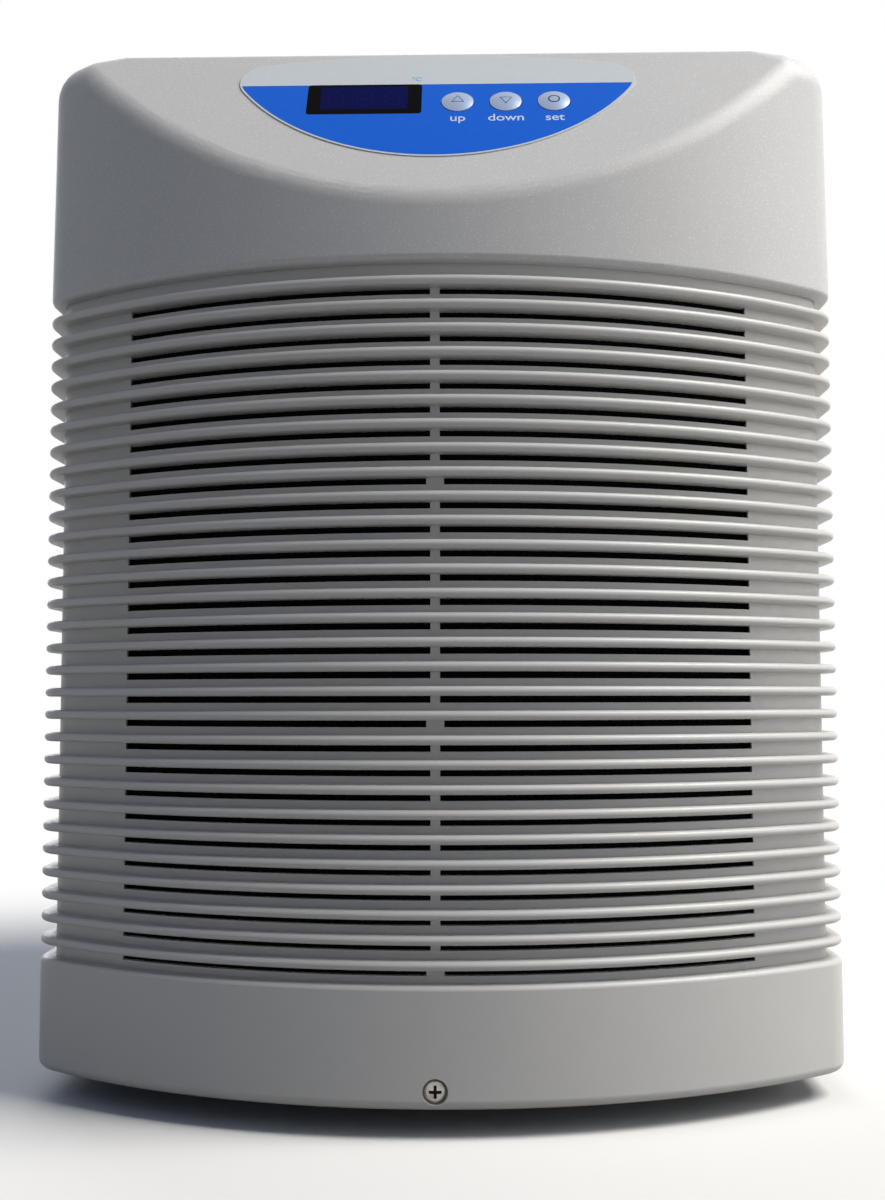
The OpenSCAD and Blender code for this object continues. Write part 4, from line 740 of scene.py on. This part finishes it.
def hood_plan(inset):
    """The outline of the hood in plan, drawn inside it by a distance."""
    quarter = math.pi / 2
    seam = BOW_ANGLE - quarter
    rear_x, rear_y = HALF_W - REAR_R, REAR_Y - REAR_R
    places = arc((0, BOW_CENTRE.y), BOW_R - inset, -quarter - BOW_ANGLE, seam, PLAN_BOW_STEPS)
    for centre, radius, start, stop in (
        ((CORNER_X, CORNER_Y), CORNER_R, seam, 0),
        ((rear_x, rear_y), REAR_R, 0, quarter),
        ((-rear_x, rear_y), REAR_R, quarter, 2 * quarter),
        ((-CORNER_X, CORNER_Y), CORNER_R, 2 * quarter, 3 * quarter - BOW_ANGLE),
    ):
        places += arc(centre, radius - inset, start, stop, PLAN_CORNER_STEPS)
    return places


def leaned(x, y, z):
    """A place after the sides lean in towards the top."""
    return Vector((x * (1 - DRAFT / HALF_W * (z - HOOD_Z) / HOOD_H), y, z))


# %% Hulls of rolling balls
# One unit sphere is made with an operator and copied to each place, because an operator that runs
# inside a crowded bmesh looks at every point each time.
bm = bmesh.new()
bmesh.ops.create_uvsphere(bm, u_segments=48, v_segments=24, radius=1)
bmesh.ops.delete(bm, geom=list(bm.edges) + list(bm.faces), context="EDGES_FACES")
unit_ball = bpy.data.meshes.new("unit_ball")
bm.to_mesh(unit_ball)
bm.free()


def hood_hull(inset):
    """The hood as a closed solid, a distance inside its outer skin."""
    bm = bmesh.new()
    under_top = TOP_Z - SOFT_R
    edge_y = (under_top - CREASE_Z + SOFT_R / math.cos(SLOPE)) / math.tan(SLOPE) + FRONT_Y
    edge_x = math.sqrt((BOW_R - SOFT_R) ** 2 - (BOW_CENTRE.y - edge_y) ** 2)
    brow_y = (TOP_Z - BROW_R - CREASE_Z + BROW_R / math.cos(SLOPE)) / math.tan(SLOPE) + FRONT_Y
    balls = []
    for p in hood_plan(SOFT_R):
        under_slope = CREASE_Z + math.tan(SLOPE) * (p.y - FRONT_Y) - SOFT_R / math.cos(SLOPE)
        balls.append((leaned(p.x, p.y, min(under_top, under_slope)), SOFT_R - inset))
    for side in (-1, 1):
        balls.append((leaned(side * edge_x, edge_y, under_top), SOFT_R - inset))
        brow = Vector((side * (edge_x - SOFT_R + BROW_R), brow_y, TOP_Z - BROW_R))
        balls.append((brow, BROW_R - inset))
    for place, radius in balls:
        ball = unit_ball.copy()
        ball.transform(Matrix.Translation(place * MM) @ Matrix.Scale(radius * MM, 4))
        bm.from_mesh(ball)
        bpy.data.meshes.remove(ball)
    levels = [(HOOD_Z - 1, inset)]
    if inset == 0:
        turns = [math.pi / 2 * i / RIM_STEPS for i in range(RIM_STEPS + 1)]
        levels = [(HOOD_Z + RIM_R * (1 - math.cos(a)), RIM_R * (1 - math.sin(a))) for a in turns]
    for z, drawn_in in levels:
        for p in hood_plan(drawn_in):
            bm.verts.new(Vector((p.x, p.y, z)) * MM)
    hull = bmesh.ops.convex_hull(bm, input=list(bm.verts), use_existing_faces=False)
    loose = set(points(hull["geom_interior"] + hull["geom_unused"]))
    bmesh.ops.delete(bm, geom=list(loose), context="VERTS")
    bmesh.ops.delete(bm, geom=[v for v in bm.verts if not v.link_faces], context="VERTS")
    return bm


def on_slope(x, s, out=0.0):
    """Takes a piece drawn flat to the slope: X to the right, Y up the slope, Z out of the face."""
    foot = Vector((x, FRONT_Y + s * math.cos(SLOPE), CREASE_Z + s * math.sin(SLOPE)))
    normal = Vector((0, -math.sin(SLOPE), math.cos(SLOPE)))
    return Matrix.Translation((foot + out * normal) * MM) @ Matrix.Rotation(SLOPE, 4, "X")


outer = solid(hood_hull(0), "hood_skin")
inner = solid(hood_hull(HOOD_T), "hood_hollow")
print("hull faces", len(outer.data.polygons), len(inner.data.polygons))

# %% Holes for the window and the keys
# The window's place on the slope, its width, height and corner radius, and the places of the keys.
WINDOW = (-28.4, 59.8, 45.2, 19.8, 1.5)
KEYS = [(8.4 + 18.9 * i, 57.3) for i in range(3)]
KEY_D = 12.5
WINDOW_GAP = 0.1
KEY_GAP = 0.6
# From how far under the slope to how far above it the holes of the hood and the film are cut.
HOOD_CUT = (-5, 2)
FILM_CUT = (-1, 2)


def rounded_block(bm, x, s, width, height, radius, low, high):
    """A block with round corners on the slope, between two distances out of the face."""
    size = Matrix.Diagonal(Vector((width, height, high - low)) * MM).to_4x4()
    middle = on_slope(x, s, (low + high) / 2)
    made = bmesh.ops.create_cube(bm, size=1, matrix=middle @ size)["verts"]
    normal = (middle.to_3x3() @ Vector((0, 0, 1))).normalized()
    around = {e for v in made for e in v.link_edges}
    upright = [
        e for e in around if abs((e.verts[0].co - e.verts[1].co).normalized().dot(normal)) > 0.9
    ]
    bmesh.ops.bevel(
        bm,
        geom=upright,
        offset=radius * MM,
        offset_type="OFFSET",
        segments=6,
        profile=0.5,
        affect="EDGES",
        material=-1,
    )


def round_block(bm, x, s, diameter, low, high):
    bmesh.ops.create_cone(
        bm,
        cap_ends=True,
        segments=64,
        radius1=diameter / 2 * MM,
        radius2=diameter / 2 * MM,
        depth=(high - low) * MM,
        matrix=on_slope(x, s, (low + high) / 2),
    )


def panel_holes(low, high):
    """Cutters for the window and the three keys."""
    bm = bmesh.new()
    x, s, width, height, radius = WINDOW
    rounded_block(bm, x, s, width + WINDOW_GAP, height + WINDOW_GAP, radius, low, high)
    for x, s in KEYS:
        round_block(bm, x, s, KEY_D + KEY_GAP, low, high)
    return solid(bm, "panel_holes")


# The lip reaches from the inside of the wall almost to the grille.
bm = bmesh.new()
lip_in = REACH - LIP_GAP
corners = [(WALL, 0), (WALL, LIP_H), (lip_in, LIP_H), (lip_in, 0)]
wire = [begin_wire(bm, inset, HOOD_Z + up) for inset, up in corners]
for a, b in zip(wire, wire[1:] + wire[:1]):
    bm.edges.new((a, b))
lip = sweep_round_front(bm, "hood_lip")

holes = panel_holes(*HOOD_CUT)
bm = combine(outer, [("DIFFERENCE", inner), ("DIFFERENCE", holes), ("UNION", lip)])
print("hood triangles", triangles(bm))
soft_hood = make_piece(bm, "soft_hood", "body", "shell", [hood_abs], limit=30)
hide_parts("top_hood")

# %% [markdown]
# ## The printed panel
#
# The panel is an adhesive film, 0.4 mm thick: a pale sheet with a blue field printed below a
# straight line, and a fine pale border left around the blue. Its outline is two arcs that run into
# round ends. A vertex spun round each of the four centres in turn draws it. The blue field is a
# second, very thin sheet with the same outline drawn in by the width of the border and cut off
# along the straight line.

# %% Outline of the film
LOW_R, UP_R, END_R = 90.0, 380.0, 12.0
FILM_S, FILM_H = 22.5, 67.8
LOW_C = Vector((0, FILM_S + LOW_R))
UP_C = Vector((0, FILM_S + FILM_H - UP_R))
span = LOW_C.y - UP_C.y
end_s = LOW_C.y - (span**2 + (LOW_R - END_R) ** 2 - (UP_R - END_R) ** 2) / (2 * span)
end_x = math.sqrt((LOW_R - END_R) ** 2 - (LOW_C.y - end_s) ** 2)
END_C = Vector((end_x, end_s))
print("film ends round", [round(v, 2) for v in END_C])


def film(inset, low, high):
    """The film as a bmesh solid on the slope, drawn inside its outline by a distance."""
    bm = bmesh.new()
    down = abs((END_C - LOW_C).angle_signed(Vector((0, -1))))
    up = abs((END_C - UP_C).angle_signed(Vector((0, 1))))
    start = LOW_C + (LOW_R - inset) * Vector((-math.sin(down), -math.cos(down)))
    vert = bmesh.ops.create_vert(bm, co=Vector((start.x, start.y, low)) * MM)["vert"][0]
    left_c = Vector((-END_C.x, END_C.y))
    end_turn = math.pi - up - down
    for centre, angle, steps in (
        (LOW_C, 2 * down, 90),
        (END_C, end_turn, 16),
        (UP_C, 2 * up, 60),
        (left_c, end_turn, 16),
    ):
        made = bmesh.ops.spin(
            bm,
            geom=[vert],
            cent=Vector((centre.x, centre.y, low)) * MM,
            axis=(0, 0, 1),
            dvec=(0, 0, 0),
            angle=angle,
            steps=steps,
            use_duplicate=False,
        )
        vert = points(made["geom_last"])[0]
    bmesh.ops.remove_doubles(bm, verts=bm.verts, dist=0.01 * MM)
    face = bmesh.ops.contextual_create(bm, geom=list(bm.edges))["faces"]
    raised = bmesh.ops.extrude_face_region(bm, geom=face)["geom"]
    bmesh.ops.translate(bm, verts=points(raised), vec=(0, 0, (high - low) * MM))
    bmesh.ops.recalc_face_normals(bm, faces=bm.faces)
    return bm


# %% The pale sheet and the blue field
FILM_T = 0.4
INK_T = 0.03
BORDER = 0.8
LINE_S = 69.6


def laid_on_slope(bm, name, finish):
    """A flat sheet laid on the slope, with the holes of the panel, as a piece of the overlay."""
    bmesh.ops.transform(bm, matrix=on_slope(0, 0), verts=bm.verts)
    bm = combine(solid(bm, name + "_blank"), [("DIFFERENCE", panel_holes(*FILM_CUT))])
    sheet = make_piece(bm, name, "body", "panel_film", [finish])
    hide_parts("control_overlay")
    print(name, "has", len(sheet.data.polygons), "faces")


laid_on_slope(film(0, 0, FILM_T - INK_T), "panel_sheet", pale_film)

bm = film(BORDER, FILM_T - INK_T, FILM_T)
cut = bmesh.ops.bisect_plane(
    bm, geom=everything(bm), plane_co=(0, LINE_S * MM, 0), plane_no=(0, 1, 0), clear_outer=True
)
bmesh.ops.holes_fill(bm, edges=edges(cut["geom_cut"]))
laid_on_slope(bm, "blue_field", blue_ink)

# %% [markdown]
# ## Words under the keys
#
# Each key has a plain word under it that says what it does. They are printed, so they are flat. A
# text object is made a mesh first, and then it is laid on the slope, a hair above the blue.


# %% Print a word
INK_SPREAD, PRINT_T, PRINT_OUT = 0.06, 0.008, 0.01


def print_word(words, name, x, s, size, finish):
    """Flat print on the panel, centred at x with its baseline at s."""
    text = bpy.data.curves.new(name, "FONT")
    text.body = words
    text.size = size * MM
    text.align_x = "CENTER"
    text.offset = INK_SPREAD * MM
    text.extrude = PRINT_T * MM
    holder = bpy.data.objects.new(name, text)
    bpy.context.scene.collection.objects.link(holder)
    bpy.context.view_layer.update()
    bm = bmesh.new()
    bm.from_mesh(holder.evaluated_get(bpy.context.evaluated_depsgraph_get()).to_mesh())
    bpy.data.objects.remove(holder)
    bmesh.ops.remove_doubles(bm, verts=bm.verts, dist=MERGE)
    width = max(v.co.x for v in bm.verts) - min(v.co.x for v in bm.verts)
    bmesh.ops.transform(bm, matrix=on_slope(x, s, FILM_T + PRINT_OUT), verts=bm.verts)
    print(words, "is", round(width / MM, 1), "mm wide")
    make_piece(bm, name, "body", "panel_film", [finish])


WORD_DROP, WORD_H = 12.6, 6.3
DEGREES_X, DEGREES_S, DEGREES_H = -8.0, 72.0, 3.6
for words, (x, s) in zip(("up", "down", "set"), KEYS):
    print_word(words, "word_" + words, x, s - WORD_DROP, WORD_H, white_ink)
print_word("°C", "word_degrees", DEGREES_X, DEGREES_S, DEGREES_H, cyan_ink)

# %% [markdown]
# ## The display window
#
# The window is one smoked lens. Its rim is printed black from behind, and the numbers of the
# display sit behind the navy field in the middle. The lens is a block with round corners. Four
# planes cut its faces where the print begins, and the faces inside them get the navy finish. The
# unlit segments are just visible as slightly lighter bars, so each digit is seven thin bars.

# %% Lens
FLANGE = 2
FLANGE_T = 1.5
# The sides of the navy field, left, right, low and high, from the middle of the window.
FIELD = (-17.3, 17.1, -6.6, 8.5)
x, s, width, height, radius = WINDOW
bm = bmesh.new()
rounded_block(bm, x, s, width, height, radius, -HOOD_T, FILM_T)
wide, tall = width + 2 * FLANGE, height + 2 * FLANGE
rounded_block(bm, x, s, wide, tall, radius + FLANGE, -HOOD_T - FLANGE_T, -HOOD_T)
face_matrix = on_slope(x, s)
to_face = face_matrix.inverted()
across, upward = Vector((1, 0, 0)), Vector((0, 1, 0))
for value, along in zip(FIELD, (across, across, upward, upward)):
    here = face_matrix @ (value * along * MM)
    facing = face_matrix.to_3x3() @ along
    bmesh.ops.bisect_plane(bm, geom=everything(bm), plane_co=here, plane_no=facing)
for face in bm.faces:
    middle = to_face @ face.calc_center_median() / MM
    inside = FIELD[0] < middle.x < FIELD[1] and FIELD[2] < middle.y < FIELD[3]
    face.material_index = 1 if inside and middle.z > 0 else 0
bmesh.ops.recalc_face_normals(bm, faces=bm.faces)
lens = make_piece(bm, "window_lens", "body", "window", [black_lens, navy_lens])
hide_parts("display_window")

# %% Unlit digits
# Thin bars lie a hair above the lens. The first digit's place is given from the lens's middle.
DIGIT_W, DIGIT_H, BAR, BAR_T = 5.6, 8.6, 0.7, 0.01
FIRST_X, FIRST_S, DIGIT_PITCH = -11.1, -4.1, 11.15
LYING_GAP, UPRIGHT_GAP, HAIR = 1.4, 1.2, 0.004
LYING = (DIGIT_W - LYING_GAP, BAR, BAR_T)
UPRIGHT = (BAR, DIGIT_H / 2 - UPRIGHT_GAP, BAR_T)
bars = [(0, row * DIGIT_H / 2, LYING) for row in (2, 1, 0)]
bars += [(side * DIGIT_W / 2, row * DIGIT_H / 4, UPRIGHT) for row in (1, 3) for side in (-1, 1)]
bm = bmesh.new()
for digit in range(3):
    for dx, ds, size in bars:
        left = FIRST_X + digit * DIGIT_PITCH + dx
        place = on_slope(x + left, s + FIRST_S + ds, FILM_T + HAIR)
        sized = Matrix.Diagonal(Vector(size) * MM).to_4x4()
        bmesh.ops.create_cube(bm, size=1, matrix=place @ sized)
digits = make_piece(bm, "unlit_digits", "body", "display", [unlit_segment])
print("digit bars", len(digits.data.polygons) // 6)

# %% [markdown]
# ## The keys and their signs
#
# Each key is a shallow dome that stands a little out of the film. The CAD caps have the right
# shape, but their triangles are shaded flat, so a merged copy with soft shading takes their place.
# The signs are thin black outlines: a triangle up, a triangle down and a ring. An outline is a
# flat polygon with its middle taken out by an inset, and its points are then dropped onto the dome
# so that it lies on it.


# %% Soft copies of CAD nodes
# A recess is near the screw's axis, with walls along it and a floor square to it. The share of a
# face's normal along the axis tells them from the dome of the head.
RECESS_REACH = 2.4
ALONG, SQUARE = 0.3, 0.9999


def loose_parts(bm):
    """The points of each separate part of a bmesh."""
    left = set(bm.verts)
    while left:
        part, waiting = set(), [left.pop()]
        while waiting:
            vert = waiting.pop()
            part.add(vert)
            near = {edge.other_vert(vert) for edge in vert.link_edges} & left
            left -= near
            waiting.extend(near)
        yield part


def soft_copy(node, recess_axis=None):
    """A merged, softly shaded copy takes a CAD node's place. The recess of a screw gets painted
    shade.
    """
    bm = bmesh.new()
    bm.from_mesh(frame["nodes"][node].data)
    bmesh.ops.remove_doubles(bm, verts=bm.verts, dist=MERGE)
    finishes = [FINISHES[slot_of[node]]]
    if recess_axis is not None:
        finishes.append(blackened_recess)
        for part in loose_parts(bm):
            low = Vector([min(v.co[i] for v in part) for i in range(3)])
            high = Vector([max(v.co[i] for v in part) for i in range(3)])
            for face in {f for v in part for f in v.link_faces}:
                away = face.calc_center_median() - (low + high) / 2
                away[recess_axis] = 0
                lean = abs(face.normal[recess_axis])
                # Faces in the recess get the second finish, which is painted shade.
                if away.length < RECESS_REACH * MM and (lean < ALONG or lean > SQUARE):
                    face.material_index = 1
    copy = make_piece(bm, "soft_" + node, body_of[node], slot_of[node], finishes)
    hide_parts(node)


for node in ("button_up", "button_down", "button_set"):
    soft_copy(node)

# %% Signs on the keys
DOME_RISE = 1.0
DOME_R = ((KEY_D / 2) ** 2 + DOME_RISE**2) / (2 * DOME_RISE)
KEY_OUT = 1.6
SIGN_LINE, SIGN_T, SUNK = 0.5, 0.03, 0.01


def key_sign(name, body, place, sides, radius, turned):
    """A thin outline on the dome of a key: a triangle with three sides, a ring with many."""
    bm = bmesh.new()
    bmesh.ops.create_circle(
        bm,
        cap_ends=True,
        segments=sides,
        radius=radius * MM,
        matrix=Matrix.Rotation(math.radians(turned), 4, "Z"),
    )
    bm.normal_update()
    line = bmesh.ops.inset_region(
        bm, faces=list(bm.faces), thickness=SIGN_LINE * MM, use_boundary=True
    )
    middle = [face for face in bm.faces if face not in line["faces"]]
    bmesh.ops.delete(bm, geom=middle, context="FACES")
    if sides == 3:
        bmesh.ops.subdivide_edges(bm, edges=bm.edges, cuts=5, use_grid_fill=True)
    for vert in bm.verts:
        flat = vert.co.xy.length_squared
        vert.co.z = math.sqrt((DOME_R * MM) ** 2 - flat) - DOME_R * MM
    raised = bmesh.ops.extrude_face_region(bm, geom=list(bm.faces))["geom"]
    bmesh.ops.translate(bm, verts=points(raised), vec=(0, 0, SIGN_T * MM))
    bmesh.ops.transform(bm, matrix=on_slope(*place, KEY_OUT - SUNK), verts=bm.verts)
    bmesh.ops.recalc_face_normals(bm, faces=bm.faces)
    make_piece(bm, name, body, "switch", [black_ink])


TRIANGLE_R, RING_R = 2.9, 2.35
key_sign("sign_up", "up_key", KEYS[0], 3, TRIANGLE_R, 0)
key_sign("sign_down", "down_key", KEYS[1], 3, TRIANGLE_R, 180)
key_sign("sign_set", "set_key", KEYS[2], 40, RING_R, 0)

# %% [markdown]
# ## The rest of the case and what is inside
#
# The other pieces are right as the CAD has them, but most have round forms. Each gets a soft copy
# in the same way as the keys, in which flat faces stay flat and turned ones look turned. The cross
# recesses of the outer screws get painted shade, a near-black finish: their faces lie close to the
# screw's axis, along it or square to it.

# %% Soft copies of the remaining nodes
# For each node of screws that show, the number of their axis: 0 is X and 1 is Y.
screws = {"grille_screw": 1, "hood_screws": 1, "case_screws": 0, "inlet_screws": 1}
made_above = {"front_grille", "top_hood", "control_overlay", "display_window"}
made_above |= {"button_up", "button_down", "button_set"}
flat_ones = {"condenser_fins", "tact_switches", "inlet_pins"}
for node in slot_of:
    if node not in made_above | flat_ones:
        soft_copy(node, screws.get(node))
shown = [o for o in bpy.data.objects if o.type == "MESH" and not o.hide_render]
print("faces shown", sum(len(o.data.polygons) for o in shown))

# %% [markdown]
# ## Floor, light and camera
#
# The machine stands on a plain pale floor in soft studio light. In the photograph most light comes
# from the right, which leaves the left of the bow in shade. So the large key lamp stands high to
# the right, a weak one low to the right lights the flank, and one behind keeps the rear readable.
# The rest is a faint cool glow from the world. For rays that come from the camera, a mirror or a
# glass, the floor is pale and turns white away from the machine, so the background is white
# without more light on the object. For light that it throws back at the machine it is darker, so
# that the front keeps its shade.


# %% Floor
def see_white(tree, share):
    """A share for rays from the camera, a gloss or a glass, and zero for light thrown back."""
    path = add(tree, "LightPath")
    seen = add(
        tree, "Math", {0: path.outputs["Is Camera Ray"], 1: path.outputs["Is Glossy Ray"]},
        operation="MAXIMUM",
    )
    seen = add(
        tree, "Math", {0: seen.outputs[0], 1: path.outputs["Is Transmission Ray"]},
        operation="MAXIMUM",
    )
    return add(tree, "Math", {0: seen.outputs[0], 1: share}, operation="MULTIPLY")


floor_finish, tree, place = begin("studio_floor")
away = add(tree, "VectorMath", {0: place}, operation="LENGTH")
far = add(
    tree, "MapRange", {"Value": away.outputs["Value"], "From Min": 0.3, "From Max": 0.62},
    interpolation_type="SMOOTHSTEP",
)
seen = see_white(tree, 1.0)
tone = add(
    tree, "Mix", {"Factor": seen.outputs[0], 6: colour("#8C8C8A"), 7: colour("#F4F4F2")},
    data_type="RGBA",
)
paper = add(tree, "BsdfDiffuse", {"Color": tone.outputs[2]})
glow = add(tree, "Emission", {"Color": colour("#FFFFFF"), "Strength": 1.0})
amount = see_white(tree, far.outputs["Result"])
mixed = {0: amount.outputs[0], 1: paper.outputs[0], 2: glow.outputs[0]}
paper_and_glow = add(tree, "MixShader", mixed)
add(tree, "OutputMaterial", {"Surface": paper_and_glow.outputs[0]})

FLOOR_R = 6.0
bm = bmesh.new()
bmesh.ops.create_circle(bm, cap_ends=True, segments=96, radius=FLOOR_R)
mesh = bpy.data.meshes.new("studio_floor")
bm.to_mesh(mesh)
bm.free()
mesh.materials.append(floor_finish)
floor = bpy.data.objects.new("studio_floor", mesh)
bpy.context.scene.collection.objects.link(floor)

# %% World
world = bpy.data.worlds.new("studio_air")
world.use_nodes = True
tree = world.node_tree
tree.nodes.clear()
soft = add(tree, "Background", {"Color": colour("#BACDF0"), "Strength": 0.21})
white = add(tree, "Background", {"Color": colour("#FFFFFF"), "Strength": 1.0})
amount = see_white(tree, 1.0)
mixed = {0: amount.outputs[0], 1: soft.outputs[0], 2: white.outputs[0]}
air = add(tree, "MixShader", mixed)
add(tree, "OutputWorld", {"Surface": air.outputs[0]})
bpy.context.scene.world = world
print("floor radius", FLOOR_R, "m, world", world.name)


# %% Lamps
AIM = Vector((0, -0.05, 0.22))


def soft_lamp(name, place, size, power, tint):
    """A square soft box that faces the middle of the machine."""
    lamp = bpy.data.lights.new(name, "AREA")
    lamp.size = size
    lamp.energy = power
    lamp.color = colour(tint)[:3]
    box = bpy.data.objects.new(name, lamp)
    box.location = place
    box.rotation_euler = (AIM - Vector(place)).to_track_quat("-Z", "Y").to_euler()
    bpy.context.scene.collection.objects.link(box)
    print(name, power, "W")


soft_lamp("key_lamp", (1.95, -0.57, 2.71), 1.5, 113, "#FFFAF4")
soft_lamp("right_lamp", (1.93, -0.4, 0.5), 1.0, 11, "#FFFCF8")
soft_lamp("rear_lamp", (-0.9, 2.1, 1.2), 1.6, 24, "#F8FAFF")

# %% Camera
# The lens and the place were worked out from the width of the case at several heights and the drop
# of its bowed edges. The camera stands half a metre in front and looks slightly upwards.
EYE = (0.01354, -0.72384, 0.1554)
YAW, PITCH_UP, ROLL = -0.0209, 0.0697, -0.0014
camera_data = bpy.data.cameras.new("camera")
camera_data.sensor_width = 36
camera_data.sensor_fit = "AUTO"
camera_data.lens = 42.6
camera = bpy.data.objects.new("camera", camera_data)
bpy.context.scene.collection.objects.link(camera)
level = math.cos(PITCH_UP)
forward = Vector((math.sin(YAW) * level, math.cos(YAW) * level, math.sin(PITCH_UP)))
right = Vector((math.cos(YAW), -math.sin(YAW), 0))
upwards = right.cross(forward)
turned = Matrix((right, upwards, -forward)).transposed() @ Matrix.Rotation(ROLL, 3, "Z")
camera.matrix_world = Matrix.Translation(EYE) @ turned.to_4x4()
bpy.context.scene.camera = camera
bpy.context.scene.view_settings.view_transform = "Standard"
